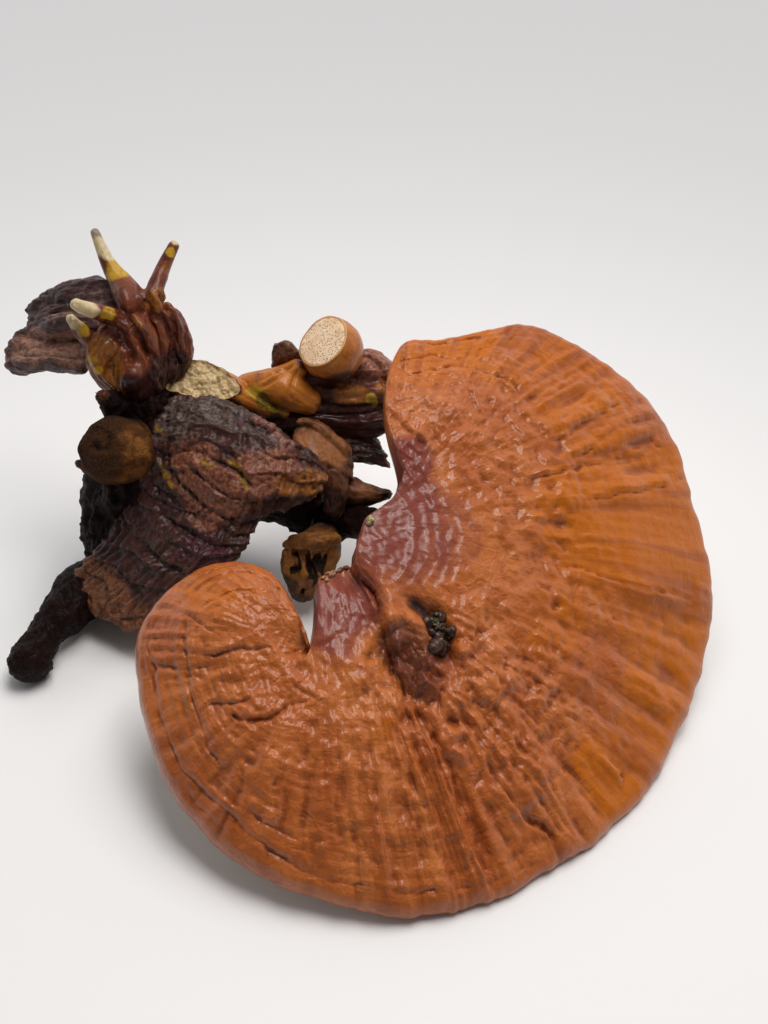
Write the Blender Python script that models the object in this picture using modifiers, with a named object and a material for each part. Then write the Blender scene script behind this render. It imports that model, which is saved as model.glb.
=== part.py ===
"""Reishi mushroom: one dried specimen, laid down on a table.

A big kidney-shaped cap leans forward on its front margin. Behind its left side stands the
cluster that it grew from: a woody trunk with a dark side cap, an antler-like branch, a
small curled cap, a scarred branch, two round buds and some torn small caps.

Every place is in millimetres in the layout frame: X to the right, Y away from the viewer,
Z up from the table. The last step scales nothing and only slides the whole specimen, so
that the origin is at the middle of its footprint.
"""

import math

import bmesh
import bpy
from mathutils import Euler, Matrix, Vector, noise

MM = 0.001

# Driving dimensions, in millimetres and degrees
CAP_TILT = 28.0
CAP_ROLL = 10.0
CAP_HUB = Vector((-6.2, -10.9, 66.0))
CAP_ROOT_THICKNESS = 15.0
CAP_DOME_POWER = 2.2
GAP = 0.4
KNIT = 1.6

# Colours of the materials: base colour, roughness
CRUST_ORANGE = ((0.42, 0.13, 0.03), 0.35)
CRUST_DARK = ((0.045, 0.022, 0.02), 0.4)
CRUST_PURPLE = ((0.11, 0.045, 0.04), 0.4)
BARK_BROWN = ((0.16, 0.06, 0.03), 0.5)
VELVET_BROWN = ((0.15, 0.07, 0.02), 0.85)
OCHRE = ((0.30, 0.14, 0.04), 0.7)

# The big cap, station by station from its upper left edge clockwise to the notch. Each has the
# margin's x, y, height and thickness in the cap's own plane, and the x and y of the growth
# line's root and how far that root lies below the hub.
CAP_STATIONS = [
    ((3, 77, -4, 9), (11, 34, 0)),
    ((8, 90, -6, 9), (11, 33, 0)),
    ((22, 95, -8, 9), (10, 31, 0)),
    ((39, 103, -10, 8), (10, 29, 0)),
    ((55, 110, -12, 8), (9, 27, 0)),
    ((71, 107, -13, 7), (8, 25, 0)),
    ((86, 101, -15, 7), (7, 23, 0)),
    ((105, 90, -18, 6), (4, 20, 0)),
    ((120, 70, -22, 6), (2, 18, 0)),
    ((127, 49, -25, 6), (-1, 15, 0)),
    ((134, 26, -28, 6), (-2, 12, 0)),
    ((134, 3, -30, 6), (-2, 9, 0)),
    ((126, -24, -28, 6), (-3, 6, 0)),
    ((114, -47, -24, 7), (-3, 4, 0)),
    ((101, -65, -19, 7), (-3, 2, 0)),
    ((83, -81, -14, 7), (-3, 1, 0)),
    ((71, -89, -12, 7), (-3, 0, 0)),
    ((54, -99, -10, 8), (-3, -1, 0)),
    ((45, -103, -10, 8), (-4, 0, 3)),
    ((36, -106, -10, 8), (-6, -1, 5)),
    ((20, -108, -10, 8), (-9, -3, 6)),
    ((3, -106, -11, 9), (-14, -6, 7)),
    ((-18, -101, -15, 9), (-13, -12, 8)),
    ((-38, -90, -19, 10), (-10, -20, 7)),
    ((-54, -74, -22, 10), (-10, -27, 7)),
    ((-65, -53, -24, 10), (-11, -31, 7)),
    ((-71, -33, -25, 10), (-13, -32, 8)),
    ((-68, -18, -22, 10), (-13, -32, 8)),
    ((-57, -6, -17, 10), (-13, -32, 8)),
    ((-44, -1, -14, 9), (-13, -32, 8)),
    ((-32, -3, -12, 9), (-13, -32, 8)),
    ((-25, -10, -10, 8), (-13, -32, 8)),
    ((-22, -19, -9, 7), (-14, -32, 8)),
]

# The crease where the right lobe lies over the left one: points in the cap's plane
CAP_CREASE = [(-4, 1), (-2, -4), (4, -9), (7, -14), (8, -21), (12, -30), (18, -43), (22, -56)]
CREASE_STEP = 4.5

# Lumps and pits on the big cap: x, y, radius and height in its plane
CAP_LUMPS = [
    (22, 60, 16, 4.0),
    (12, 42, 7, 1.5),
    (58, 62, 20, 1.5),
    (14, -22, 5, 4.0),
    (17, -33, 6, 4.0),
    (25, -35, 5, 4.5),
    (34, -30, 5, 4.5),
    (42, -39, 6, 4.0),
    (33, -44, 6, 4.0),
    (53, -42, 7, 2.0),
    (21, -17, 6, -6.0),
    (28, -24, 6, -7.5),
    (22, -48, 6, -2.0),
    (-45, -22, 13, 3.5),
    (-30, -70, 14, 2.0),
    (66, 17, 10, -2.5),
    (96, 55, 9, -1.5),
]

# Furrows that run outwards on the big cap: start, end, width and depth
CAP_FURROWS = [
    ((32, -64), (46, -99), 3.0, 2.4),
    ((46, -58), (70, -90), 3.5, 2.8),
    ((2, -45), (4, -104), 3.5, 1.8),
    ((50, 18), (126, 22), 4.0, 2.2),
    ((48, 34), (122, 50), 3.5, 1.8),
    ((46, 52), (108, 84), 3.5, 1.8),
    ((60, -10), (118, -32), 3.5, 1.8),
    ((-20, -52), (-44, -84), 3.5, 1.8),
    ((-22, -40), (-66, -44), 3.0, 1.4),
]

# Round branches: points of x, y, z and radius
TRUNK_RUNS = [
    [(-101, 52, -4, 21), (-101, 58, 18, 21), (-100, 64, 44, 17), (-95, 71, 66, 14), (-93, 74, 80, 11)],
    [(-98, 62, 18, 18), (-70, 72, 24, 12), (-48, 70, 27, 8.5), (-26, 62, 24, 9)],
    [(-80, 68, 10, 14), (-74, 70, 36, 12), (-80, 72, 58, 12)],
]
STEM_RUN = [
    (-24, 60, 22, 9),
    (-17, 55, 27, 7),
    (-8, 46, 34, 6.5),
    (1, 30, 43, 8),
    (5, 8, 53, 11),
    (4, -8, 60, 13),
]
CLUB_RUN = [
    (-110, 46, 10, 11),
    (-118, 37, 9, 10.5),
    (-121, 28, 9, 10),
    (-124, 20, 9, 8.6),
    (-128, 12, 8, 6.8),
    (-130, 6, 7, 6.8),
    (-132, 0, 5.5, 7.4),
]
VELVET_NECK = [(-96, 46, 73, 8), (-95, 55, 75, 9), (-94, 63, 77, 7)]
ANTLER_PALM = [
    [(-95, 74, 73, 9), (-93, 73, 85, 12), (-91, 76, 97, 12), (-88, 80, 108, 8.5)],
    [(-96, 72, 80, 9), (-105, 68, 90, 4.5), (-103, 69, 97, 6), (-96, 74, 104, 6)],
    [(-86, 78, 80, 8), (-78, 81, 89, 5.5), (-79, 83, 99, 5.5), (-84, 82, 108, 5)],
]
ANTLER_FINGERS = [
    [(-90, 78, 108, 7.5), (-93, 81, 112, 6.2), (-97, 86, 116, 4.6), (-102, 91, 122, 3), (-107, 98, 132, 1.7)],
    [(-86, 81, 106, 5), (-86, 82, 110, 4.4), (-84, 87, 115, 3.5), (-82, 92, 119, 3), (-77, 98, 127, 2)],
    [(-92, 77, 103, 5.5), (-97, 71, 109, 3.8), (-101, 67, 114, 3), (-105, 63, 118, 2.8), (-108, 60, 122, 2)],
    [(-101, 72, 94, 5.5), (-106, 72, 98, 4.2), (-109, 70, 103, 3), (-111, 68, 109, 2.4), (-112, 66, 113, 2)],
]
CURLED_LIP = [(-139, 91, 94, 2.2), (-142, 88, 89, 3), (-144, 85, 84, 3.2), (-139, 82, 82, 2.8)]
SCAR_RUN = [
    (-86, 80, 80, 7),
    (-81, 80, 78, 7.5),
    (-71, 79, 77, 8.5),
    (-62, 78, 74, 7.5),
    (-52, 77, 70, 5.5),
    (-43, 76, 67, 3.8),
    (-37, 76, 66, 2.6),
]
SPUR_RUNS = [
    [(-58, 82, 74, 4.5), (-48, 82, 73.5, 6.5), (-39, 81, 73, 9), (-31, 79, 70, 6), (-26, 77, 69, 4)],
    [(-42, 82, 74, 6), (-35, 83, 78, 5), (-31, 84, 82, 3)],
]
FOLDED_RUNS = [
    [(-36, 82, 66, 6), (-21, 83, 68, 7.2), (-9, 83, 68, 7.2), (3, 82, 70, 6.5)],
    [(-33, 80, 60, 4.5), (-18, 79, 59, 5.8), (-4, 78, 60, 5.8), (5, 78, 62, 4.5)],
    [(-17, 93, 70, 5), (-9, 94, 77, 5.2), (-2, 90, 78, 5), (3, 85, 72, 4.5)],
    [(-28, 84, 62, 8), (-28, 76, 44, 9), (-28, 68, 28, 8)],
]
TORN_LOBE = [(-22, 57, 53, 6), (-19, 55, 47, 5.5), (-19, 52, 41, 5), (-20, 50, 34, 3.8)]
HORN_RUN = [(-18, 60, 42, 6), (-13, 58, 40, 6), (-7, 56, 40, 4.8), (-2, 54, 41.5, 3.2), (3, 53, 43, 1.4)]
STUMP_RUN = [(-22, 52, 28, 6), (-25, 44, 24, 8), (-29, 38, 17, 9), (-32, 34, 10, 7), (-34, 30, 5, 4.5)]

# The pale bud's ball: centre, radius, and the way and depth of its flat face
PALE_CENTRE = (-20, 84, 89)
PALE_RADIUS = 12.2
PALE_FACING = (-0.50, -0.38, 0.78)
PALE_FACE_DEPTH = 6.6

# Thin caps: rows of x, y, z points across each sheet
SIDE_CAP_LOWER = [
    [(-88, 70, 68), (-75, 73, 68), (-62, 72, 67), (-50, 67, 63), (-38, 59, 58)],
    [(-91, 59, 59), (-78, 58, 58), (-64, 53, 57), (-50, 48, 56), (-38, 45, 53)],
    [(-96, 54, 49), (-84, 46, 46), (-70, 38, 44), (-57, 32, 41), (-49, 33, 41)],
    [(-108, 43, 29), (-94, 35, 31), (-80, 26, 32), (-66, 22, 32), (-55, 27, 34)],
    [(-121, 36, 17), (-117, 26, 11), (-104, 16, 9), (-88, 10, 10), (-70, 13, 22)],
]
SIDE_CAP_UPPER = [
    [(-88, 70, 72), (-76, 74, 74), (-62, 73, 73), (-49, 66, 70), (-37, 59, 65), (-28, 54, 59)],
    [(-90, 61, 66), (-77, 61, 69), (-62, 57, 69), (-46, 50, 66), (-34, 48, 60), (-22, 48, 55)],
    [(-88, 55, 58), (-78, 51, 58), (-64, 43, 58), (-49, 38, 56), (-36, 42, 54), (-24, 45, 51)],
    [(-85, 51, 50), (-76, 43, 46), (-65, 37, 43), (-56, 34, 43), (-46, 37, 47), (-33, 44, 51)],
]
CURLED_CAP = [
    [(-96, 88, 108), (-96, 84, 103), (-97, 79, 99), (-99, 77, 92), (-103, 76, 83)],
    [(-103, 94, 113), (-101, 87, 109), (-102, 82, 104), (-104, 78, 96), (-109, 77, 84)],
    [(-115, 98, 111), (-113, 91, 107), (-114, 85, 103), (-115, 81, 96), (-117, 78, 86)],
    [(-126, 100, 107), (-123, 93, 104), (-123, 87, 101), (-125, 83, 96), (-126, 80, 87)],
    [(-135, 101, 101), (-131, 95, 99), (-130, 90, 98), (-132, 85, 93), (-134, 82, 86)],
    [(-139, 100, 96), (-137, 96, 95), (-137, 92, 94), (-140, 88, 89), (-141, 85, 84)],
]
FOLDED_CHIP = [
    [(-43, 90, 72), (-38, 89, 70), (-33, 88, 70)],
    [(-43, 91, 81), (-38, 90, 81), (-34, 89, 79)],
    [(-42, 92, 86), (-38, 91, 87), (-35, 90, 84)],
]
TORN_CAP = [
    [(-35, 68, 62), (-30, 70, 64), (-22, 68, 60), (-15, 66, 55)],
    [(-33, 60, 60), (-27, 61, 61), (-20, 60, 57), (-12, 60, 50)],
    [(-32, 53, 56), (-26, 54, 57), (-19, 55, 53), (-12, 56, 46)],
]
POINTED_CAP = [
    [(-22, 78, 56), (-13, 80, 56), (-4, 78, 55)],
    [(-20, 74, 50), (-11, 75, 51), (-1, 74, 50)],
    [(-15, 69, 46), (-8, 70, 45), (3, 68, 44)],
]


def catmull_rom(values, t):
    """The smooth curve through values at t, from 0 at the first to 1 at the last."""
    place = min(max(t, 0.0), 1.0) * (len(values) - 1)
    index = min(int(place), len(values) - 2)
    f = place - index
    before = values[max(index - 1, 0)]
    here = values[index]
    after = values[index + 1]
    beyond = values[min(index + 2, len(values) - 1)]
    return [
        0.5 * (2 * b + (c - a) * f + (2 * a - 5 * b + 4 * c - d) * f * f + (3 * b - a - 3 * c + d) * f**3)
        for a, b, c, d in zip(before, here, after, beyond)
    ]


def material(name, finish):
    colour, roughness = finish
    made = bpy.data.materials.get(name) or bpy.data.materials.new(name)
    made.use_nodes = True
    shader = made.node_tree.nodes["Principled BSDF"]
    shader.inputs["Base Color"].default_value = (*colour, 1.0)
    shader.inputs["Roughness"].default_value = roughness
    shader.inputs["Metallic"].default_value = 0.0
    return made


def add_object(name, mesh, collection):
    obj = bpy.data.objects.new(name, mesh)
    collection.objects.link(obj)
    return obj


def add_modifier(obj, kind, **settings):
    modifier = obj.modifiers.new(kind.title(), kind)
    for key, value in settings.items():
        setattr(modifier, key, value)
    return modifier


def settled(obj):
    """Bakes the object's modifiers, or a curve's bevel, into a plain welded mesh."""
    bpy.context.view_layer.update()
    graph = bpy.context.evaluated_depsgraph_get()
    mesh = bpy.data.meshes.new_from_object(obj.evaluated_get(graph))
    bm = bmesh.new()
    bm.from_mesh(mesh)
    bmesh.ops.remove_doubles(bm, verts=bm.verts, dist=1e-6)
    bmesh.ops.recalc_face_normals(bm, faces=bm.faces)
    bm.to_mesh(mesh)
    bm.free()
    return mesh


def largest_body(mesh):
    """Deletes every loose part of a mesh but the biggest one."""
    bm = bmesh.new()
    bm.from_mesh(mesh)
    seen = set()
    bodies = []
    for start in bm.verts:
        if start in seen:
            continue
        body = {start}
        front = [start]
        while front:
            for edge in front.pop().link_edges:
                for vert in edge.verts:
                    if vert not in body:
                        body.add(vert)
                        front.append(vert)
        seen |= body
        bodies.append(body)
    bodies.sort(key=len)
    loose = [vert for body in bodies[:-1] for vert in body]
    bmesh.ops.delete(bm, geom=loose, context="VERTS")
    bm.to_mesh(mesh)
    bm.free()


def limb(points):
    """A round branch through points of x, y, z and radius, as the welded mesh of a bevelled curve."""
    curve = bpy.data.curves.new("limb", "CURVE")
    curve.dimensions = "3D"
    curve.bevel_depth = MM
    curve.bevel_resolution = 3
    curve.use_fill_caps = True
    curve.resolution_u = 5
    spline = curve.splines.new("BEZIER")
    spline.bezier_points.add(len(points) - 1)
    for knot, (x, y, z, radius) in zip(spline.bezier_points, points):
        knot.co = Vector((x, y, z)) * MM
        knot.radius = radius
        knot.handle_left_type = "AUTO"
        knot.handle_right_type = "AUTO"
    guide = add_object("limb", curve, bpy.context.scene.collection)
    mesh = settled(guide)
    bpy.data.objects.remove(guide)
    return mesh


def blob(centre, size, turn=(0, 0, 0)):
    """A ball stretched to size along its own axes and turned, in millimetres and degrees."""
    bm = bmesh.new()
    bmesh.ops.create_uvsphere(bm, u_segments=20, v_segments=12, radius=MM)
    shape = Matrix.Translation(Vector(centre) * MM)
    shape = shape @ Euler([math.radians(a) for a in turn]).to_matrix().to_4x4()
    bmesh.ops.transform(bm, matrix=shape @ Matrix.Diagonal((*size, 1)), verts=bm.verts)
    mesh = bpy.data.meshes.new("blob")
    bm.to_mesh(mesh)
    bm.free()
    return mesh


def leaf(rows, thickness, across=10, along=10):
    """A thin curved cap or flap: a smooth sheet through rows of x, y, z points, given its thickness."""
    bm = bmesh.new()
    bmesh.ops.create_grid(bm, x_segments=across, y_segments=along, size=1.0)
    for vert in bm.verts:
        u = (vert.co.x + 1) / 2
        v = (vert.co.y + 1) / 2
        vert.co = Vector(catmull_rom([catmull_rom(row, u) for row in rows], v)) * MM
    mesh = bpy.data.meshes.new("leaf")
    bm.to_mesh(mesh)
    bm.free()
    sheet = add_object("leaf", mesh, bpy.context.scene.collection)
    add_modifier(sheet, "SOLIDIFY", thickness=thickness * MM, offset=0.0)
    add_modifier(sheet, "SUBSURF", levels=1, render_levels=1)
    solid = settled(sheet)
    bpy.data.objects.remove(sheet)
    return solid


def roughen(mesh, lumps, size, seed):
    """Pushes a mesh in and out along its normals by noise, lumps millimetres high and size across."""
    shift = Vector((seed * 7.3, seed * 3.1, seed * 5.7))
    normals = [vert.normal.copy() for vert in mesh.vertices]
    for vert, normal in zip(mesh.vertices, normals):
        push = noise.fractal(vert.co / (size * MM) + shift, 1.0, 2.0, 3)
        vert.co += normal * push * lumps * MM


def fused(name, pieces, collection, faces, lumps=0.6, size=9.0, smooth=4, seed=0, knit=KNIT):
    """One grown body from pieces that run into each other: knitted, softened, roughened and thinned out."""
    joined = bmesh.new()
    for piece in pieces:
        joined.from_mesh(piece)
    mesh = bpy.data.meshes.new(name)
    joined.to_mesh(mesh)
    joined.free()
    obj = add_object(name, mesh, collection)
    add_modifier(obj, "REMESH", mode="VOXEL", voxel_size=knit * MM, adaptivity=0.0)
    add_modifier(obj, "SMOOTH", factor=0.5, iterations=smooth)
    obj.data = settled(obj)
    obj.modifiers.clear()
    largest_body(obj.data)
    roughen(obj.data, lumps, size, seed)
    thin_out(obj, faces)
    return obj


def thin_out(obj, faces):
    """Decimates the object's mesh to about that many triangles."""
    obj.data.calc_loop_triangles()
    share = faces / len(obj.data.loop_triangles)
    if share < 1:
        add_modifier(obj, "DECIMATE", ratio=share)
        obj.data = settled(obj)
        obj.modifiers.clear()


def cut_clear(obj, others):
    """Cuts obj back from the pieces that it grew from, so that a hairline gap is left between them.

    The exact solver loses faces where a swollen cutter runs into itself; the manifold one keeps them.
    """
    for other in others:
        if not boxes_meet(obj, other):
            continue
        cutter = add_object("cutter", other.data.copy(), bpy.context.scene.collection)
        cutter.hide_render = True
        cutter.display_type = "WIRE"
        normals = [vert.normal.copy() for vert in cutter.data.vertices]
        for vert, normal in zip(cutter.data.vertices, normals):
            vert.co += normal * GAP * MM
        add_modifier(obj, "BOOLEAN", operation="DIFFERENCE", solver="MANIFOLD", object=cutter)
        obj.data = settled(obj)
        obj.modifiers.clear()
        bpy.data.objects.remove(cutter)
        largest_body(obj.data)


def boxes_meet(one, other):
    lows = []
    highs = []
    for obj in (one, other):
        corners = [vert.co for vert in obj.data.vertices]
        lows.append([min(c[i] for c in corners) for i in range(3)])
        highs.append([max(c[i] for c in corners) for i in range(3)])
    return all(lows[0][i] < highs[1][i] + GAP * MM and lows[1][i] < highs[0][i] + GAP * MM for i in range(3))


def cut_flat(obj, height):
    """Cuts everything below a level plane, at a height in metres, away and closes the cut."""
    bm = bmesh.new()
    bm.from_mesh(obj.data)
    geometry = bm.verts[:] + bm.edges[:] + bm.faces[:]
    plane = Vector((0, 0, height))
    cut = bmesh.ops.bisect_plane(bm, geom=geometry, plane_co=plane, plane_no=(0, 0, 1), clear_inner=True)
    edges = [item for item in cut["geom_cut"] if isinstance(item, bmesh.types.BMEdge)]
    bmesh.ops.holes_fill(bm, edges=edges)
    bm.to_mesh(obj.data)
    bm.free()


def bump(distance, width):
    return math.exp(-((distance / width) ** 2))


def to_segment(point, start, end):
    """The distance from a point to a line piece, and how far along it the nearest place is."""
    a = Vector(start)
    along = Vector(end) - a
    share = min(max((point - a).dot(along) / along.length_squared, 0.0), 1.0)
    return (point - a - along * share).length, share


def crease_step(here, s):
    """How far the left lobe sinks beside the crease, and the groove along the crease itself."""
    nearest = None
    for start, end in zip(CAP_CREASE, CAP_CREASE[1:]):
        away, share = to_segment(here, start, end)
        if nearest is None or away < nearest[0]:
            along = Vector(end) - Vector(start)
            side = along.cross(here - Vector(start))
            nearest = (away, side)
    away, side = nearest
    fade = max(0.0, 1 - s / 0.55)
    sunk = CREASE_STEP * bump(away, 7.0) * fade if side < 0 else 0.0
    return -sunk - 1.6 * bump(away, 1.8) * fade


def cap_relief(x, y, t, s):
    """Height of the lumps, furrows and growth ledges of the big cap's skin."""
    here = Vector((x, y))
    rise = sum(high * bump((here - Vector((lx, ly))).length, wide) for lx, ly, wide, high in CAP_LUMPS)
    for start, end, width, depth in CAP_FURROWS:
        away, share = to_segment(here, start, end)
        rise -= depth * bump(away, width) * (0.4 + 0.6 * share)
    for ledge in (0.80, 0.90):
        rise -= (0.9 + 1.2 * bump(t, 0.12)) * bump(s - ledge, 0.02)
    rise += 1.3 * s * math.sin(54 * t) + 0.8 * s * math.sin(121 * t + 1.7)
    return rise + crease_step(here, s)


def cap_point(t, s, side):
    """A point of the big cap in its own plane.

    t runs along the margin and s from root to margin; side is 1 on the skin and -1 on the pore face.
    """
    rim_x, rim_y, rim_height, rim_thickness = catmull_rom([row[0] for row in CAP_STATIONS], t)
    root_x, root_y, drop = catmull_rom([row[1] for row in CAP_STATIONS], t)
    x = root_x + (rim_x - root_x) * s - 4.5 * math.sin(math.pi * s) * bump(t, 0.04)
    y = root_y + (rim_y - root_y) * s
    height = rim_height * s**CAP_DOME_POWER - drop * (1 - s) ** 3
    thickness = rim_thickness + (CAP_ROOT_THICKNESS - rim_thickness) * (1 - s) ** 1.5
    ends = min(t, 1 - t) / 0.03
    if ends < 1:
        thickness *= 0.25 + 0.75 * math.sqrt(1 - (1 - ends) ** 2)
    if side > 0:
        height += cap_relief(x, y, t, s) * min(1.0, 8 * (1 - s) + 0.15)
    return Vector((x, y, height - thickness * (1 - side) / 2))


def cap_profile():
    """The s and side of each point round the big cap's section: out on the skin, and back underneath."""
    top = [(s, 1.0) for s in (0, 0.05, 0.11, 0.18, 0.25, 0.33, 0.41, 0.49, 0.57, 0.65, 0.72)]
    top += [(s, 1.0) for s in (0.78, 0.82, 0.87, 0.91, 0.95)]
    rim = [(0.98, 0.72), (0.995, 0.36), (1.0, 0.0), (0.992, -0.4), (0.97, -0.8)]
    under = [(s, -1.0) for s in (0.92, 0.8, 0.64, 0.48, 0.32, 0.16, 0.0)]
    return top + rim + under


def build_big_cap(collection):
    """The kidney-shaped cap: one section swept along the margin, closed at both ends of the kidney."""
    profile = cap_profile()
    profile.append(profile[0])
    stations = 150
    bm = bmesh.new()
    bmesh.ops.create_grid(bm, x_segments=stations, y_segments=len(profile) - 1, size=1.0)
    for vert in bm.verts:
        t = (vert.co.x + 1) / 2
        s, side = profile[round((vert.co.y + 1) / 2 * (len(profile) - 1))]
        vert.co = cap_point(t, s, side) * MM
    bmesh.ops.remove_doubles(bm, verts=bm.verts, dist=1e-5)
    bmesh.ops.holes_fill(bm, edges=[edge for edge in bm.edges if edge.is_boundary])
    bmesh.ops.recalc_face_normals(bm, faces=bm.faces)
    plane = Matrix.Translation(CAP_HUB * MM)
    plane = plane @ Euler((math.radians(CAP_TILT), math.radians(CAP_ROLL), 0)).to_matrix().to_4x4()
    bmesh.ops.transform(bm, matrix=plane, verts=bm.verts)
    mesh = bpy.data.meshes.new("big_cap")
    bm.to_mesh(mesh)
    bm.free()
    return fused("big_cap", [mesh], collection, 3500, lumps=0.3, size=8, smooth=1, seed=15, knit=1.2)


def build_trunk(collection, table):
    """The woody stock that everything grew from, cut flat where it was sawn off its log."""
    obj = fused("trunk", [limb(run) for run in TRUNK_RUNS], collection, 560, lumps=1.6, size=12, seed=1)
    cut_flat(obj, table)
    return obj


def build_stem(collection):
    """The dark stalk from the foot of the cluster to the big cap's hub."""
    return fused("stem", [limb(STEM_RUN)], collection, 230, lumps=0.8, size=10, seed=2)


def build_side_cap(collection):
    """The dark fan that hangs over the cluster's front, with a thick upper layer over its upper half."""
    layers = [leaf(SIDE_CAP_LOWER, 6.5, 14, 14), leaf(SIDE_CAP_UPPER, 7.0, 14, 10)]
    return fused("side_cap", layers, collection, 640, lumps=1.2, size=7, smooth=3, seed=3, knit=1.3)


def build_club(collection, table):
    """The blunt black stub that lies on the table at the far left."""
    bulb = blob((-132, 0, 5.5), (8.4, 8.2, 8.4))
    obj = fused("club", [limb(CLUB_RUN), bulb], collection, 220, lumps=0.8, size=8, seed=4)
    cut_flat(obj, table)
    return obj


def build_velvet_bud(collection):
    """The round, velvety young cap that hangs at the trunk's front."""
    ball = blob((-97, 42, 71), (14, 13, 13), (10, 12, 0))
    return fused("velvet_bud", [ball, limb(VELVET_NECK)], collection, 290, lumps=0.4, size=9, seed=5)


def build_antler(collection):
    """The hand-like branch with pale, pointed fingers."""
    runs = [limb(run) for run in ANTLER_PALM + ANTLER_FINGERS]
    return fused("antler", runs, collection, 660, lumps=0.9, size=7, smooth=2, seed=6, knit=1.1)


def build_curled_cap(collection):
    """The small dark cap behind the antler, whose lip curls forward and down."""
    pieces = [leaf(CURLED_CAP, 4.5, 10, 12), limb(CURLED_LIP)]
    return fused("curled_cap", pieces, collection, 400, lumps=0.7, size=6, smooth=2, seed=7, knit=1.2)


def build_scarred_branch(collection):
    """The branch that leans to the right from the antler's foot, with a long pale scar and an orange spur."""
    pieces = [limb(SCAR_RUN)] + [limb(run) for run in SPUR_RUNS]
    return fused("scarred_branch", pieces, collection, 320, lumps=0.5, size=8, smooth=2, seed=8, knit=1.2)


def build_pale_bud(collection):
    """The ball-shaped young cap whose flat pore face looks up to the left."""
    bm = bmesh.new()
    facing = Vector(PALE_FACING).normalized()
    bmesh.ops.create_uvsphere(bm, u_segments=32, v_segments=20, radius=PALE_RADIUS * MM)
    bmesh.ops.translate(bm, vec=Vector(PALE_CENTRE) * MM, verts=bm.verts)
    geometry = bm.verts[:] + bm.edges[:] + bm.faces[:]
    face_at = (Vector(PALE_CENTRE) + facing * PALE_FACE_DEPTH) * MM
    cut = bmesh.ops.bisect_plane(bm, geom=geometry, plane_co=face_at, plane_no=facing, clear_outer=True)
    edges = [item for item in cut["geom_cut"] if isinstance(item, bmesh.types.BMEdge)]
    bmesh.ops.holes_fill(bm, edges=edges)
    mesh = bpy.data.meshes.new("ball")
    bm.to_mesh(mesh)
    bm.free()
    neck = limb([(-20, 85, 82, 6), (-19, 86, 74, 6)])
    return fused("pale_bud", [mesh, neck], collection, 260, lumps=0.15, size=9, smooth=2, seed=9, knit=1.0)


def build_folded_cap(collection):
    """The small red-brown cap, folded over itself, between the branch and the big cap."""
    pieces = [limb(run) for run in FOLDED_RUNS] + [leaf(FOLDED_CHIP, 4.0, 6, 6)]
    return fused("folded_cap", pieces, collection, 500, lumps=1.0, size=8, smooth=3, seed=10, knit=1.3)


def build_torn_cap(collection):
    """The broken edge of a small cap that shows its smooth tan flesh, with the lobe that hangs below it."""
    pieces = [leaf(TORN_CAP, 5.5, 8, 8), limb(TORN_LOBE)]
    return fused("torn_cap", pieces, collection, 220, lumps=0.5, size=7, smooth=2, seed=11, knit=1.2)


def build_pointed_cap(collection):
    """The dark leaf-like cap whose tip points down to the right."""
    sheet = leaf(POINTED_CAP, 4.5, 8, 8)
    return fused("pointed_cap", [sheet], collection, 170, lumps=0.5, size=7, smooth=2, seed=12, knit=1.1)


def build_horn(collection):
    """The short brown horn beside the stalk, pointing to the right."""
    return fused("horn", [limb(HORN_RUN)], collection, 140, lumps=0.6, size=6, smooth=2, seed=13, knit=1.1)


def build_stump(collection):
    """The ochre and black stub that hangs in front of the foot."""
    return fused("stump", [limb(STUMP_RUN)], collection, 220, lumps=1.4, size=5, smooth=2, seed=14, knit=1.2)


def finish(obj, name, look):
    obj.data.materials.clear()
    obj.data.materials.append(material(name, look))
    obj.data.shade_smooth()
    obj.data.set_sharp_from_angle(angle=math.radians(45))


def centre_on_footprint(nodes):
    """Slides every node alike, so that the origin is at the middle of the bounding box's base."""
    corners = [vert.co for obj in nodes for vert in obj.data.vertices]
    low = Vector([min(c[i] for c in corners) for i in range(3)])
    high = Vector([max(c[i] for c in corners) for i in range(3)])
    slide = Vector(((low.x + high.x) / 2, (low.y + high.y) / 2, low.z))
    for obj in nodes:
        obj.data.transform(Matrix.Translation(-slide))
    print("layout frame origin in the part's frame, mm:", [round(-v / MM, 2) for v in slide])


def main():
    for obj in list(bpy.data.objects):
        bpy.data.objects.remove(obj)
    specimen = bpy.data.collections.new("reishi_mushroom")
    bpy.context.scene.collection.children.link(specimen)

    big_cap = build_big_cap(specimen)
    table = min(vert.co.z for vert in big_cap.data.vertices)
    trunk = build_trunk(specimen, table)
    stem = build_stem(specimen)
    side_cap = build_side_cap(specimen)
    antler = build_antler(specimen)
    folded_cap = build_folded_cap(specimen)
    scarred_branch = build_scarred_branch(specimen)
    curled_cap = build_curled_cap(specimen)
    pale_bud = build_pale_bud(specimen)
    velvet_bud = build_velvet_bud(specimen)
    club = build_club(specimen, table)
    torn_cap = build_torn_cap(specimen)
    pointed_cap = build_pointed_cap(specimen)
    horn = build_horn(specimen)
    stump = build_stump(specimen)

    grown = [
        (trunk, CRUST_DARK),
        (big_cap, CRUST_ORANGE),
        (stem, CRUST_DARK),
        (side_cap, CRUST_PURPLE),
        (antler, BARK_BROWN),
        (velvet_bud, VELVET_BROWN),
        (folded_cap, BARK_BROWN),
        (scarred_branch, OCHRE),
        (curled_cap, CRUST_PURPLE),
        (pale_bud, OCHRE),
        (club, CRUST_DARK),
        (torn_cap, BARK_BROWN),
        (pointed_cap, CRUST_PURPLE),
        (horn, BARK_BROWN),
        (stump, OCHRE),
    ]
    done = []
    for obj, look in grown:
        cut_clear(obj, done)
        finish(obj, obj.name, look)
        done.append(obj)
    centre_on_footprint(done)


main()
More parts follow.
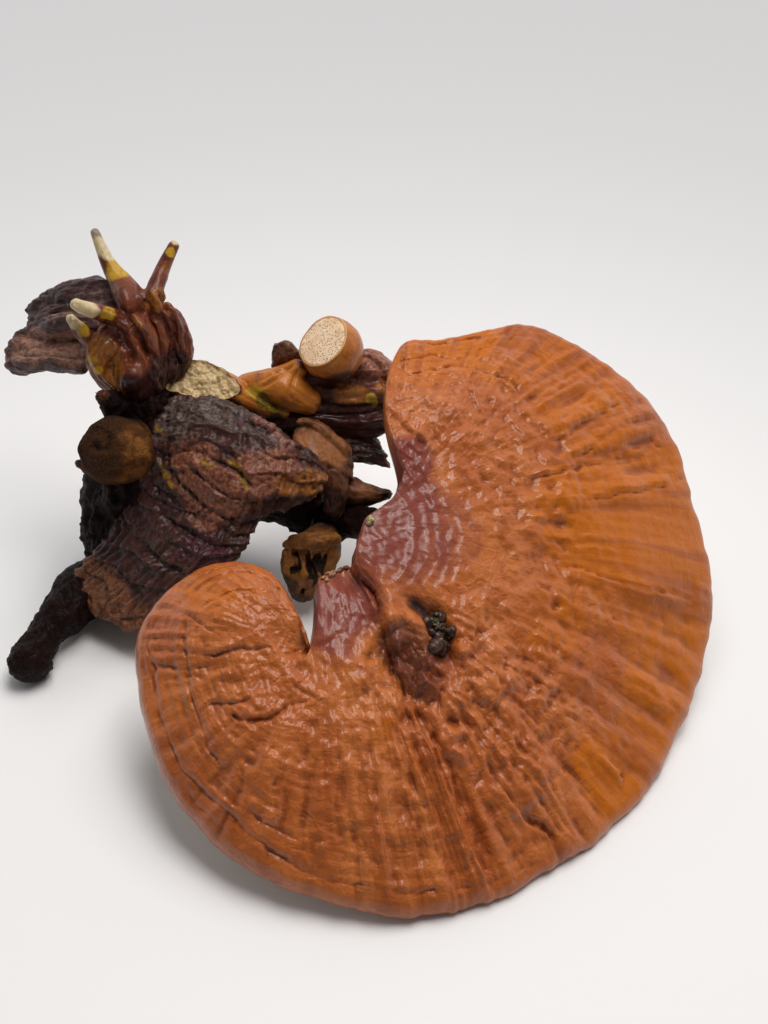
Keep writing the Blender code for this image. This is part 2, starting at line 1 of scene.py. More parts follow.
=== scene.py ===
# %% [markdown]
# # A dried reishi mushroom
# The specimen is one grown thing: a big lacquered cap that leans on its front margin, and behind
# its left side the woody cluster of small caps and buds that it grew from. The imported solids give
# every piece its place. Each is replaced here by a finely wrinkled skin with its own finish.

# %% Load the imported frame
import math

import bmesh
import bpy
import numpy as np
from mathutils import Euler, Matrix, Vector, kdtree


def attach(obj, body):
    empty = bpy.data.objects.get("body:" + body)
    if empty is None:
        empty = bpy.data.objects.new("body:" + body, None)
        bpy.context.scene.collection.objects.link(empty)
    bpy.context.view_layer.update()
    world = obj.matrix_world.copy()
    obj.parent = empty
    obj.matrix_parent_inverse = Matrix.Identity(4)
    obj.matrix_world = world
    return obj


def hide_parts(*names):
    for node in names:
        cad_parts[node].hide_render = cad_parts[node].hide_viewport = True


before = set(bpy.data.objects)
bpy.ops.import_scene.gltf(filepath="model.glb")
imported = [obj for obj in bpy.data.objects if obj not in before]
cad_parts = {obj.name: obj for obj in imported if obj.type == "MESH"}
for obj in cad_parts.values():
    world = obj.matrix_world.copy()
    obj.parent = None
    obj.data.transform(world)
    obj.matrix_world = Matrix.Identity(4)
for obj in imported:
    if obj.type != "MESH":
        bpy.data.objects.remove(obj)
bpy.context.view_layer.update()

# %% [markdown]
# Places are written in millimetres in a layout frame with its zero on the table, below the middle
# of the big cap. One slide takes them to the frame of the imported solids.

# %% Units and the slide into the frame
MM = 0.001
LAYOUT_ORIGIN = Vector((12.15, -0.71, 2.43))
INTO_FRAME = Matrix.Scale(MM, 4) @ Matrix.Translation(LAYOUT_ORIGIN)
TABLE = -LAYOUT_ORIGIN.z
print("table height in the layout, mm:", TABLE)

# %% [markdown]
# The camera looks down at the specimen from in front, as a person at a table would. Its focal
# length is written in pixels of the 768 x 1024 picture, because that is what was measured.

# %% Camera
PICTURE_HEIGHT = 1024
FOCAL_PIXELS = 1062
SENSOR = 36.0
CAMERA_PLACE = Vector((0, -270, 300))
CAMERA_DROP = 39.5

camera_data = bpy.data.cameras.new("camera")
camera_data.sensor_width = SENSOR
camera_data.lens = FOCAL_PIXELS / PICTURE_HEIGHT * SENSOR
camera = bpy.data.objects.new("camera", camera_data)
camera.location = INTO_FRAME @ CAMERA_PLACE
camera.rotation_euler = (math.radians(90 - CAMERA_DROP), 0, 0)
bpy.context.scene.collection.objects.link(camera)
bpy.context.scene.camera = camera
print("lens:", round(camera_data.lens, 2), "mm")

# %% [markdown]
# Light and finishes are built from shader nodes, so the small tools for them come first: one feeds
# an input, one adds a node, and two spread or combine numbers.

# %% Node helpers
def wire(tree, target, value):
    """Feeds an input from another node, or sets its number or colour."""
    if isinstance(value, bpy.types.NodeSocket):
        tree.links.new(value, target)
    elif target.type == "RGBA":
        target.default_value = (*value[:3], 1.0)
    else:
        target.default_value = value


def add_node(tree, kind, output, settings, inputs):
    """Adds a node, sets it up, feeds its inputs and gives back one of its outputs."""
    made = tree.nodes.new("ShaderNode" + kind)
    for key, value in settings.items():
        setattr(made, key, value)
    for key, value in inputs.items():
        wire(tree, made.inputs[key], value)
    return made.outputs[output]


def ranged(tree, value, low, high, to_low=0.0, to_high=1.0):
    """The value spread smoothly from low and high to other ends."""
    spread = {"Value": value, "From Min": low, "From Max": high, "To Min": to_low, "To Max": to_high}
    return add_node(tree, "MapRange", "Result", {"interpolation_type": "SMOOTHSTEP"}, spread)


def reckon(tree, operation, one, other):
    """One sum of two numbers or sockets, such as ADD or MULTIPLY."""
    return add_node(tree, "Math", 0, {"operation": operation}, {0: one, 1: other})


# %% [markdown]
# A photo tent lights the real specimen: white cloth at the back and sides, an open front, a dimmer
# roof and lamps in it. The lacquer mirrors all of that, so the world is bright at the horizon
# behind and dim in front and overhead, which keeps the dark skins dark. A wide sun evens the light
# out and isn't mirrored; a near roof lamp gives the lacquer its sheen, and a strip its glints.

# %% Light and floor
world = bpy.data.worlds.new("tent")
world.use_nodes = True
tent = world.node_tree
sky = tent.nodes["Background"]
sky.inputs["Color"].default_value = (0.96, 0.97, 1.0, 1.0)
way = add_node(tent, "TexCoord", "Generated", {}, {})
split = add_node(tent, "SeparateXYZ", 0, {}, {"Vector": way}).node
cloth = ranged(tent, split.outputs["Y"], -0.6, 0.4, 0.14, 0.95)
roof = ranged(tent, split.outputs["Z"], 0.35, 0.9, 0.95, 0.35)
wire(tent, sky.inputs["Strength"], reckon(tent, "MULTIPLY", cloth, roof))
bpy.context.scene.world = world
bpy.context.scene.view_settings.view_transform = "Standard"


LAMP_COLOUR = (1.0, 0.975, 0.94)


def add_lamp(name, kind, place, target, energy):
    """A warm lamp at a layout place, in millimetres, that faces a target."""
    data = bpy.data.lights.new(name, kind)
    data.energy = energy
    data.color = LAMP_COLOUR
    lamp = bpy.data.objects.new(name, data)
    lamp.location = INTO_FRAME @ Vector(place)
    aim = Vector(target) - Vector(place)
    lamp.rotation_euler = aim.to_track_quat("-Z", "Y").to_euler()
    bpy.context.scene.collection.objects.link(lamp)
    return lamp


SUN_STRENGTH = 1.5
SUN_WIDTH = 40
AREA_LAMPS = [
    ("roof_lamp", (20, 30, 460), (0, 10, 40), 0.74, (340, 150)),
    ("strip_lamp", (90, -20, 500), (0, 0, 40), 0.2, (260, 16)),
]
soft = add_lamp("even_light", "SUN", (125, 150, 500), (0, 0, 40), SUN_STRENGTH)
soft.data.angle = math.radians(SUN_WIDTH)
soft.visible_glossy = False
for name, place, target, watts, (width, height) in AREA_LAMPS:
    panel = add_lamp(name, "AREA", place, target, watts).data
    panel.shape = "RECTANGLE"
    panel.size, panel.size_y = width * MM, height * MM

FLOOR_HALF_WIDTH = 6.0
FLOOR_COLOUR = (0.84, 0.83, 0.83, 1.0)
FLOOR_ROUGHNESS = 0.75
floor_mesh = bpy.data.meshes.new("floor")
bm = bmesh.new()
bmesh.ops.create_grid(bm, x_segments=1, y_segments=1, size=FLOOR_HALF_WIDTH)
bm.to_mesh(floor_mesh)
bm.free()
floor = bpy.data.objects.new("floor", floor_mesh)
bpy.context.scene.collection.objects.link(floor)
floor_finish = bpy.data.materials.new("floor_finish")
floor_finish.use_nodes = True
floor_shader = floor_finish.node_tree.nodes["Principled BSDF"]
floor_shader.inputs["Base Color"].default_value = FLOOR_COLOUR
floor_shader.inputs["Roughness"].default_value = FLOOR_ROUGHNESS
floor.data.materials.append(floor_finish)

# %% [markdown]
# Every wrinkle below comes from a few kinds of noise. Blender's own noise works on one point at a
# time, and these skins have hundreds of thousands, so here it is written for whole arrays. Hard
# noise has round lumps with sharp creases between them; pleated noise is sharp both ways.

# %% Noise for whole arrays of points
def hashed(cell, seed):
    """A repeatable number from -1 to 1 for each whole-numbered cell."""
    mixed = cell[:, 0] * 73856093 ^ cell[:, 1] * 19349663 ^ cell[:, 2] * 83492791 ^ seed * 2654435761
    mixed = (mixed ^ (mixed >> 13)) * 1274126177
    return ((mixed ^ (mixed >> 16)) & 0xFFFF) / 32767.5 - 1.0


def noise_at(points, size, seed=0):
    """Smooth noise, about -1 to 1, with hills about that size apart."""
    scaled = points / size + seed * 0.37
    cell = np.floor(scaled).astype(np.int64)
    inside = scaled - cell
    fade = inside**3 * (inside * (inside * 6 - 15) + 10)
    total = np.zeros(len(points))
    for corner in np.ndindex(2, 2, 2):
        weight = np.prod(np.where(corner, fade, 1 - fade), axis=1)
        node = cell + corner
        slope = sum(hashed(node, seed * 3 + axis) * (inside[:, axis] - corner[axis]) for axis in range(3))
        total += weight * slope
    return total * 1.6


def layered(points, size, seed=0, octaves=3, hard=False):
    """Noise with finer and finer layers on top; the hard kind has sharp creases between its lumps."""
    total = np.zeros(len(points))
    for octave in range(octaves):
        value = noise_at(points, size / 2**octave, seed + octave)
        total += (np.abs(value) * 2.2 - 0.6 if hard else value) / 2**octave
    return total


def pleated(points, size, seed=0, octaves=3):
    """Noise folded like crumpled leather, as sharp on its ridges as in its furrows."""
    total = np.zeros(len(points))
    for octave in range(octaves):
        value = noise_at(points, size / 2**octave, seed + octave)
        total += (2 * np.abs((1.6 * value + 0.5) % 2 - 1) - 1) / 2**octave
    return total


def smoothstep(low, high, value):
    """From 0 at low to 1 at high, smoothly; low may be the larger one."""
    share = np.clip((value - low) / (high - low), 0, 1)
    return share * share * (3 - 2 * share)


def bell(distance, width):
    """1 at no distance, and falling away over about that width."""
    return np.exp(-((distance / width) ** 2))


trial = layered(np.random.default_rng(1).random((2000, 3)) * 50, 6.0)
print("noise runs from", round(float(trial.min()), 2), "to", round(float(trial.max()), 2))

# %% [markdown]
# Curves and creases are given by a few points each. `through` rounds such points off into a smooth
# curve, and `to_line` measures how far every point of a skin is from a line and on which side.

# %% Smooth curves and distances
def spline(rows, t, each=None):
    """The smooth curve through rows, at each t from 0 to 1; each picks a column for each t."""
    last = len(rows) - 1
    place = np.clip(t, 0, 1) * last
    index = np.minimum(place.astype(int), last - 1)
    f = (place - index)[:, None]
    near = [np.clip(index + step, 0, last) for step in (-1, 0, 1, 2)]
    a, b, c, d = (rows[row] if each is None else rows[row, each] for row in near)
    return 0.5 * (2 * b + (c - a) * f + (2 * a - 5 * b + 4 * c - d) * f**2 + (3 * b - a - 3 * c + d) * f**3)


def through(rows, t):
    """The smooth curve through rows of numbers, at each t from 0 to 1."""
    return spline(np.asarray(rows, float), t)


def to_line(points, line, steps=4):
    """Distance to a smoothed line, the share of the way along it, and which side (left is +1)."""
    line = through(line, np.linspace(0, 1, (len(line) - 1) * steps + 1))
    nearest = np.full(len(points), 1e9)
    share = np.zeros(len(points))
    side = np.ones(len(points))
    for index, (start, end) in enumerate(zip(line, line[1:])):
        along = end - start
        f = np.clip((points - start) @ along / (along @ along + 1e-12), 0, 1)
        away = np.linalg.norm(points - start - f[:, None] * along, axis=1)
        closer = away < nearest
        nearest = np.where(closer, away, nearest)
        share = np.where(closer, (index + f) / (len(line) - 1), share)
        turn = along[0] * (points[:, 1] - start[1]) - along[1] * (points[:, 0] - start[0])
        side = np.where(closer, np.sign(turn), side)
    return nearest, share, side


def zoned(points, base, zones):
    """A value that is base everywhere and tends to each zone's value near its place.

    A zone is its place, its radius and its value.
    """
    weight = np.ones(len(points))
    total = np.full(len(points), float(base))
    for *place, radius, value in zones:
        near = 12 * np.exp(-(((points - np.array(place)) / radius) ** 2).sum(axis=1))
        weight += near
        total += near * value
    return total / weight


# %% [markdown]
# ## The big cap
# The cap grew outwards in a fan from its stalk, so its skin is swept the same way: one section,
# from the root out along the skin, round the margin and back along the pore face, is carried round
# the margin. Each station has the margin's place, height and thickness in the cap's own plane, and
# the place and drop of the root that this stretch grew from. They are the solid's own stations.

# %% The big cap's plan
CAP_TILT = 28.0
CAP_ROLL = 10.0
CAP_HUB = Vector((-6.2, -10.9, 66.0))
CAP_ROOT_THICKNESS = 15.0
CAP_DOME_POWER = 2.2
CAP_MARGIN_LENGTH = 600.0
CAP_REACH = 110.0
CAP_TURN = Euler((math.radians(CAP_TILT), math.radians(CAP_ROLL), 0)).to_matrix().to_4x4()
CAP_PLANE = Matrix.Translation(CAP_HUB) @ CAP_TURN
CAP_STATIONS = [
    ((3, 77, -4, 9), (11, 34, 0)),
    ((8, 90, -6, 9), (11, 33, 0)),
    ((22, 95, -8, 9), (10, 31, 0)),
    ((39, 103, -10, 8), (10, 29, 0)),
    ((55, 110, -12, 8), (9, 27, 0)),
    ((71, 107, -13, 7), (8, 25, 0)),
    ((86, 101, -15, 7), (7, 23, 0)),
    ((105, 90, -18, 6), (4, 20, 0)),
    ((120, 70, -22, 6), (2, 18, 0)),
    ((127, 49, -25, 6), (-1, 15, 0)),
    ((134, 26, -28, 6), (-2, 12, 0)),
    ((134, 3, -30, 6), (-2, 9, 0)),
    ((126, -24, -28, 6), (-3, 6, 0)),
    ((114, -47, -24, 7), (-3, 4, 0)),
    ((101, -65, -19, 7), (-3, 2, 0)),
    ((83, -81, -14, 7), (-3, 1, 0)),
    ((71, -89, -12, 7), (-3, 0, 0)),
    ((54, -99, -10, 8), (-3, -1, 0)),
    ((45, -103, -10, 8), (-4, 0, 3)),
    ((36, -106, -10, 8), (-6, -1, 5)),
    ((20, -108, -10, 8), (-9, -3, 6)),
    ((3, -106, -11, 9), (-14, -6, 7)),
    ((-18, -101, -15, 9), (-13, -12, 8)),
    ((-38, -90, -19, 10), (-10, -20, 7)),
    ((-54, -74, -22, 10), (-10, -27, 7)),
    ((-65, -53, -24, 10), (-11, -31, 7)),
    ((-71, -33, -25, 10), (-13, -32, 8)),
    ((-68, -18, -22, 10), (-13, -32, 8)),
    ((-57, -6, -17, 10), (-13, -32, 8)),
    ((-44, -1, -14, 9), (-13, -32, 8)),
    ((-32, -3, -12, 9), (-13, -32, 8)),
    ((-25, -10, -10, 8), (-13, -32, 8)),
    ((-22, -19, -9, 7), (-14, -32, 8)),
]

# %% [markdown]
# The lasting shapes of the skin are listed: swellings and hollows, the lumps round the
# pit, the crease where the right lobe lies over the left one, and the folds and furrows. A crease
# is a line with its width, its depth and how far the skin stands up on its left side (or, below
# zero, on its right side).

# %% Swellings, lumps and creases of the big cap
CAP_SWELLINGS = [
    (22, 60, 16, 4.0),
    (12, 42, 7, 1.5),
    (58, 62, 20, 1.5),
    (22, -48, 6, -2.0),
    (-45, -22, 13, 3.0),
    (-30, -70, 14, 2.0),
    (66, 17, 10, -2.5),
    (96, 55, 9, -1.5),
    (93, 50, 8, 2.0),
    (70, 36, 7, 2.0),
    (60, 22, 6, 1.6),
    (100, 12, 12, 1.2),
    (13, -22, 5, 2.0),
    (32, -62, 8, 1.2),
    (58, -66, 9, 1.2),
]
CAP_LUMPS = [
    (11, -19, 4.0, 1.6),
    (15, -26, 4.4, 1.8),
    (21, -31, 4.2, 1.8),
    (16, -36, 4.2, 1.4),
    (24, -39, 4.6, 1.8),
    (36, -26, 4.2, 2.4),
    (38, -32, 4.4, 2.6),
    (43, -38, 5.6, 2.8),
    (45, -28, 5.6, 2.0),
    (52, -33, 5.2, 1.8),
    (33, -44, 5.4, 2.0),
    (41, -48, 5.0, 1.4),
    (34, -17, 5.0, 1.8),
    (61, -37, 5.0, 1.2),
]
CAP_CREASE = [(-4, 1), (-2, -4), (4, -9), (7, -14), (8, -21), (12, -30), (18, -43), (22, -56)]
CAP_CREASE_DEPTH, CAP_CREASE_WIDTH = 1.8, 1.3
CAP_OVERLAP = (4.2, 7.0)
CAP_PIT = [(18, -12), (23, -15), (26, -18), (28, -22), (29, -26)]
CAP_PIT_DEPTH, CAP_PIT_WIDTH = 3.4, 3.6
CAP_HOLLOWS = [(14, -27, 6, 3.4), (20, -34, 6, 3.2), (27, -20, 5, 2.0), (24, -42, 4, 1.6)]
CAP_CREASES = [
    ([(5, 79), (13, 82), (20, 84), (28, 83)], 1.0, 1.6, -1.2),
    ([(14, 88), (22, 91), (30, 95), (40, 98)], 1.0, 1.4, -0.8),
    ([(5, 69), (13, 74), (22, 78), (30, 80), (38, 79), (45, 78), (52, 74)], 1.1, 1.5, -1.4),
    ([(4, 55), (8, 50), (13, 47), (18, 44)], 1.6, 1.4, 1.0),
    ([(31, 70), (34, 63), (38, 57), (36, 50)], 1.2, 1.2, 0.6),
    ([(51, 70), (65, 78), (79, 90)], 0.9, 1.1, 0.5),
    ([(66, 64), (79, 78), (86, 88)], 0.9, 1.0, 0.4),
    ([(62, 55), (69, 59), (80, 70), (91, 80), (101, 86)], 1.1, 1.8, 0.9),
    ([(72, 50), (78, 56), (89, 68), (109, 81)], 1.1, 1.8, 0.9),
    ([(55, 38), (61, 41), (67, 44), (75, 49), (87, 55), (101, 62), (115, 72)], 1.0, 1.8, 1.6),
    ([(80, 37), (92, 43), (101, 47), (113, 53), (124, 60)], 0.9, 2.2, 1.6),
    ([(59, 22), (65, 25), (74, 27)], 2.4, 1.8, 1.6),
    ([(70, 10), (77, 10), (94, 9), (110, 9), (132, 13)], 1.0, 1.6, -0.8),
    ([(58, 3), (61, 1), (70, -1), (80, -3), (95, -6), (106, -6)], 0.8, 1.6, -1.0),
    ([(61, 17), (65, 0), (68, -6)], 2.2, 1.6, 0.0),
    ([(56, -28), (62, -32), (67, -34), (77, -35)], 1.3, 1.9, 1.0),
    ([(99, -25), (104, -27), (111, -29), (119, -32), (124, -36)], 0.9, 1.6, 0.9),
    ([(70, -40), (84, -44), (97, -49)], 1.1, 1.3, 0.5),
    ([(24, -50), (29, -57), (34, -66), (37, -73), (42, -85), (47, -94), (49, -101)], 1.3, 2.2, -0.9),
    ([(33, -44), (38, -50), (43, -57), (50, -67), (58, -75), (67, -79), (73, -88)], 1.6, 2.6, -1.2),
    ([(65, -77), (68, -81), (73, -89)], 0.7, 3.0, 0.0),
    ([(46, -42), (50, -48), (56, -54), (65, -62), (70, -69)], 1.2, 1.8, -0.6),
    ([(54, -41), (59, -47), (65, -52), (80, -63)], 1.2, 1.8, -0.6),
    ([(85, -51), (92, -56), (95, -61)], 0.7, 2.4, -1.2),
    ([(12, -32), (17, -41), (22, -48), (29, -57)], 2.2, 2.2, 0.0),
    ([(9, -61), (18, -67), (24, -73), (26, -82)], 2.2, 2.0, 0.0),
    ([(10, -70), (11, -84), (14, -97)], 1.0, 1.0, 0.4),
    ([(5, -26), (7, -39), (9, -51), (11, -64), (10, -73)], 1.6, 1.2, 0.0),
    ([(-57, -20), (-54, -15), (-50, -11), (-39, -7), (-30, -10), (-24, -18)], 0.8, 0.9, -0.4),
    ([(-50, -20), (-46, -17), (-43, -15), (-38, -13), (-32, -16)], 0.8, 0.9, -0.4),
    ([(-58, -14), (-50, -7), (-42, -4)], 0.7, 0.7, -0.3),
    ([(-66, -19), (-60, -20), (-54, -23), (-48, -27), (-45, -27)], 0.7, 1.8, 0.7),
    ([(-56, -33), (-51, -35), (-46, -36), (-42, -35), (-36, -33), (-27, -33)], 1.0, 2.0, 1.0),
    ([(-68, -29), (-60, -29), (-53, -30)], 1.0, 1.2, 0.4),
    ([(-68, -34), (-60, -34), (-49, -36)], 0.9, 1.0, 0.4),
    ([(-67, -38), (-56, -39), (-48, -40), (-42, -38)], 1.0, 1.4, 0.5),
    ([(-67, -42), (-56, -42), (-46, -43)], 1.0, 1.2, 0.4),
    ([(-46, -53), (-43, -51), (-36, -50), (-30, -48)], 1.0, 1.5, 0.8),
    ([(-36, -53), (-33, -55), (-30, -55.5), (-26, -55), (-22, -52), (-18, -48)], 1.2, 2.8, 1.5),
    ([(-18, -49), (-14, -47), (-19, -43)], 1.0, 1.6, 0.5),
    ([(-17, -44), (-11, -47), (-8, -48)], 0.8, 1.2, 0.4),
    (
        [
            (-67, -20), (-66, -30), (-64, -40), (-61, -48), (-56, -60), (-51, -68), (-43, -76),
            (-32, -84), (-24, -90), (-13, -95), (3, -100), (22, -100), (33, -100), (47, -96), (63, -88),
            (80, -77),
        ],
        1.0,
        1.2,
        0.8,
    ),
    (
        [
            (-56, -23), (-54, -31), (-52, -39), (-50, -47), (-45, -59), (-39, -69), (-30, -79),
            (-20, -86), (-7, -92),
        ],
        0.9,
        1.1,
        0.6,
    ),
    ([(-70, -32), (-69, -42), (-65, -54), (-58, -66), (-50, -76), (-38, -85)], 0.9, 1.2, 0.5),
]
GROWTH_CENTRE = (-6, 9)
GROWTH_RADII = [22, 27, 31, 35, 39]
GROWTH_HEIGHT, GROWTH_WIDTH = 0.3, 0.9

# %% [markdown]
# Between those shapes the skin is crumpled like leather. How much differs from place to place:
# strong in the ring around the pit, weak on the smooth purple centre, on the ochre right margin
# and on the crown of the left lobe.

# %% Relief of the big cap's skin
def crease_relief(points, line, width, depth, stand, seed):
    """A groove along a line that fades at both ends, with the skin raised on one side of it."""
    lows = np.min(line, axis=0) - 9
    highs = np.max(line, axis=0) + 9
    rise = np.zeros(len(points))
    near = np.all((points > lows) & (points < highs), axis=1)
    if not near.any():
        return rise
    away, share, side = to_line(points[near], line)
    ends = smoothstep(0, 0.12, share) * smoothstep(1, 0.86, share) * 0.8 + 0.2
    ends = ends * np.where((share <= 0) | (share >= 1), bell(away, width * 2), 1)
    broken = 0.75 + 0.8 * noise_at(np.column_stack([points[near], 0 * away]), 6.0, 70 + seed)
    ends *= np.clip(broken, 0.15, 1.3)
    groove = -0.6 * depth * bell(away, 0.6 * width)
    lip = np.where(side * stand > 0, abs(stand) * bell(away, 1.5 + 2 * width), 0)
    rise[near] = (groove + lip * (1 - bell(away, 0.5 * width))) * ends
    return rise


def cap_relief(x, y, t, s):
    """Height of everything that stands on the dome of the big cap."""
    flat = np.stack([x, y, np.zeros_like(x)], axis=1)
    bend = np.stack([noise_at(flat, 7.0, 11), noise_at(flat, 7.0, 12)], axis=1) * 1.3
    bend += np.stack([noise_at(flat, 2.6, 13), noise_at(flat, 2.6, 14)], axis=1) * 0.28
    here = flat[:, :2] + bend
    rise = np.zeros(len(x))
    for cx, cy, radius, height in CAP_SWELLINGS:
        rise += height * bell(np.hypot(x - cx, y - cy), radius)

    lump = np.zeros(len(x))
    pushed = here + np.stack([pleated(flat, 5.0, 15, 2), pleated(flat, 5.0, 17, 2)], axis=1) * 1.1
    for cx, cy, radius, height in CAP_LUMPS:
        dome = 1 - (np.hypot(pushed[:, 0] - cx, pushed[:, 1] - cy) / radius) ** 2
        lump = np.maximum(lump, height * np.clip(dome, 0, 1) ** 0.7)
    rise += lump

    for seed, (line, width, depth, stand) in enumerate(CAP_CREASES):
        rise += crease_relief(here, line, width, depth, stand, seed)

    away, share, side = to_line(here, CAP_CREASE)
    fade = np.clip(1 - s / 0.6, 0, 1)
    rise -= np.where(side < 0, CAP_OVERLAP[0] * bell(away, CAP_OVERLAP[1]), 0) * fade
    rise -= CAP_CREASE_DEPTH * bell(away, CAP_CREASE_WIDTH) * fade
    rise -= CAP_PIT_DEPTH * bell(to_line(here, CAP_PIT)[0], CAP_PIT_WIDTH)
    for cx, cy, radius, depth in CAP_HOLLOWS:
        rise -= depth * bell(np.hypot(x - cx, y - cy), radius)

    for radius in GROWTH_RADII:
        ring = np.hypot(here[:, 0] - GROWTH_CENTRE[0], here[:, 1] - GROWTH_CENTRE[1]) - radius
        rise += GROWTH_HEIGHT * bell(ring, GROWTH_WIDTH) * (y > -8) * smoothstep(0.45, 0.25, s)

    crumple = zoned(here, 0.75, CRUMPLE_ZONES)
    fan = np.stack([t * CAP_MARGIN_LENGTH, s * CAP_REACH, np.zeros_like(s)], axis=1)
    bent = np.column_stack([here, 0 * x])
    leather = 0.75 * pleated(flat, 11.0, 21, 3) + 0.4 * pleated(bent / (1, 1.5, 1), 5.0, 27, 2)
    leather += 0.2 * layered(bent, 5.0, 24, 2, hard=True)
    rise += crumple * 0.75 * leather
    spokes = 0.75 * pleated(fan / (1, 7.0, 1), 13.0, 31, 3)
    spokes += 0.4 * layered(fan / (1, 5.0, 1), 5.0, 34, 3, hard=True)
    rise += SPOKE_HEIGHT * smoothstep(0.25, 0.8, s) * spokes * zoned(here, 0.7, SPOKE_ZONES)
    waves = noise_at(fan / (12.0, 1, 1), 3.4, 41) + 0.5 * noise_at(fan / (8.0, 1, 1), 1.9, 42)
    rise += 0.2 * waves * smoothstep(0.2, 0.5, s)
    lattice = 0.5 * layered(fan / (1, 8.0, 1), 6.0, 51, 2, hard=True) + 0.4 * waves
    rise += zoned(here, 0.0, LATTICE_ZONES) * lattice
    rise += 0.1 * layered(flat, 1.6, 61, 2)
    return rise


CRUMPLE_ZONES = [
    (40, -40, 16, 2.0),
    (20, -40, 12, 1.6),
    (60, -40, 16, 1.3),
    (15, 15, 16, 0.25),
    (16, -28, 6, 2.2),
    (-6, -18, 9, 0.5),
    (105, 32, 18, 0.12),
    (112, -20, 16, 0.35),
    (95, -58, 14, 0.4),
    (85, 92, 16, 0.5),
    (-45, -16, 14, 0.25),
    (-54, -50, 12, 0.25),
    (20, 88, 12, 0.35),
    (35, 60, 18, 1.0),
    (60, 40, 14, 1.2),
    (-25, -45, 16, 1.1),
    (-5, -60, 16, 0.9),
]
LATTICE_ZONES = [(-60, -36, 8, 1.0), (-50, -58, 9, 1.0), (-20, -82, 12, 1.0), (20, -92, 12, 0.8)]
SPOKE_HEIGHT = 1.35
SPOKE_ZONES = [
    (105, 32, 18, 0.25),
    (110, 8, 12, 1.1),
    (100, 68, 16, 1.3),
    (60, -75, 18, 1.2),
    (112, -28, 14, 1.0),
    (20, 60, 16, 0.3),
    (-45, -16, 14, 0.3),
    (-54, -50, 12, 0.5),
    (5, -85, 20, 1.1),
]

# %% [markdown]
# The skin is a grid whose columns are stations along the margin and whose rows go round the
# section. Moving its points to their places is quick and exact, and each point keeps where it
# grew, so the finish can follow the growth lines.

# %% Sweep the big cap
CAP_COLUMNS = 560
CAP_TOP_ROWS = 138
CAP_RIM_ROWS = 18
CAP_UNDER_ROWS = 16
CAP_WALL_ROWS = 4
CAP_RIM_START = 0.955
CAP_WELD = 0.004
TABLE_CLEARANCE = 0.02
HOLLOW_REACH = 5


def cap_section():
    """How far out (s) and on which side (1 skin, -1 pore face) each row of the section lies."""
    top = [(s, 1.0) for s in np.linspace(0, CAP_RIM_START, CAP_TOP_ROWS, endpoint=False)]
    turns = np.linspace(math.pi / 2, -math.pi / 2, CAP_RIM_ROWS)
    rim = [(CAP_RIM_START + (1 - CAP_RIM_START) * math.cos(a), math.sin(a)) for a in turns]
    under = [(s, -1.0) for s in np.linspace(CAP_RIM_START, 0, CAP_UNDER_ROWS + 1)[1:]]
    wall = [(0.0, side) for side in np.linspace(-1, 1, CAP_WALL_ROWS + 1)[1:]]
    return np.array(top + rim + under + wall)


def swept_cap():
    """The big cap's mesh in the layout, with where each point grew and how hollow it is."""
    section = cap_section()
    bm = bmesh.new()
    bmesh.ops.create_grid(bm, x_segments=CAP_COLUMNS, y_segments=len(section) - 1, size=1.0)
    spots = np.array([vert.co[:2] for vert in bm.verts]) * 0.5 + 0.5
    t = spots[:, 0]
    s, side = section[np.round(spots[:, 1] * (len(section) - 1)).astype(int)].T
    rim = through([row[0] for row in CAP_STATIONS], t)
    root = through([row[1] for row in CAP_STATIONS], t)
    edge = np.column_stack([t * CAP_MARGIN_LENGTH, s * 0, s * 0])
    wobble = 1 + (0.9 * noise_at(edge, 11.0, 5) + 0.5 * noise_at(edge, 4.0, 6)) * s**6 / CAP_REACH
    x = root[:, 0] + (rim[:, 0] - root[:, 0]) * s * wobble
    x -= 4.5 * np.sin(math.pi * s) * bell(t, 0.04)
    y = root[:, 1] + (rim[:, 1] - root[:, 1]) * s * wobble
    height = rim[:, 2] * s**CAP_DOME_POWER - root[:, 2] * (1 - s) ** 3
    thickness = rim[:, 3] + (CAP_ROOT_THICKNESS - rim[:, 3]) * (1 - s) ** 1.5
    ends = np.clip(np.minimum(t, 1 - t) / 0.03, 0, 1)
    thickness *= 0.25 + 0.75 * np.sqrt(1 - (1 - ends) ** 2)
    skin_share = np.clip((side + 1) / 2, 0, 1)
    relief = cap_relief(x, y, t, s) * np.minimum(1.0, 10 * (1 - s) + 0.25) * skin_share
    z = height + relief - thickness * (1 - side) / 2

    columns = np.round(spots[:, 0] * CAP_COLUMNS).astype(int)
    rows = np.round(spots[:, 1] * (len(section) - 1)).astype(int)
    table = np.zeros((CAP_COLUMNS + 1, len(section)))
    table[columns, rows] = relief
    hollow = (blurred(table, HOLLOW_REACH) - table)[columns, rows]
    masks = {"grow": s, "turn": t, "hollow": hollow, "side": side}
    layers = {name: bm.verts.layers.float.new(name) for name in masks}
    for index, vert in enumerate(bm.verts):
        vert.co = (x[index], y[index], z[index])
        for name, layer in layers.items():
            vert[layer] = masks[name][index]
    bmesh.ops.remove_doubles(bm, verts=bm.verts, dist=CAP_WELD)
    bmesh.ops.holes_fill(bm, edges=[edge for edge in bm.edges if edge.is_boundary])
    bmesh.ops.triangulate(bm, faces=[face for face in bm.faces if len(face.verts) > 4])
    bmesh.ops.recalc_face_normals(bm, faces=bm.faces)
    bmesh.ops.transform(bm, matrix=CAP_PLANE, verts=bm.verts)
    for vert in bm.verts:
        vert.co.z = max(vert.co.z, TABLE + TABLE_CLEARANCE)
    mesh = bpy.data.meshes.new("big_cap_skin")
    bm.to_mesh(mesh)
    bm.free()
    return mesh


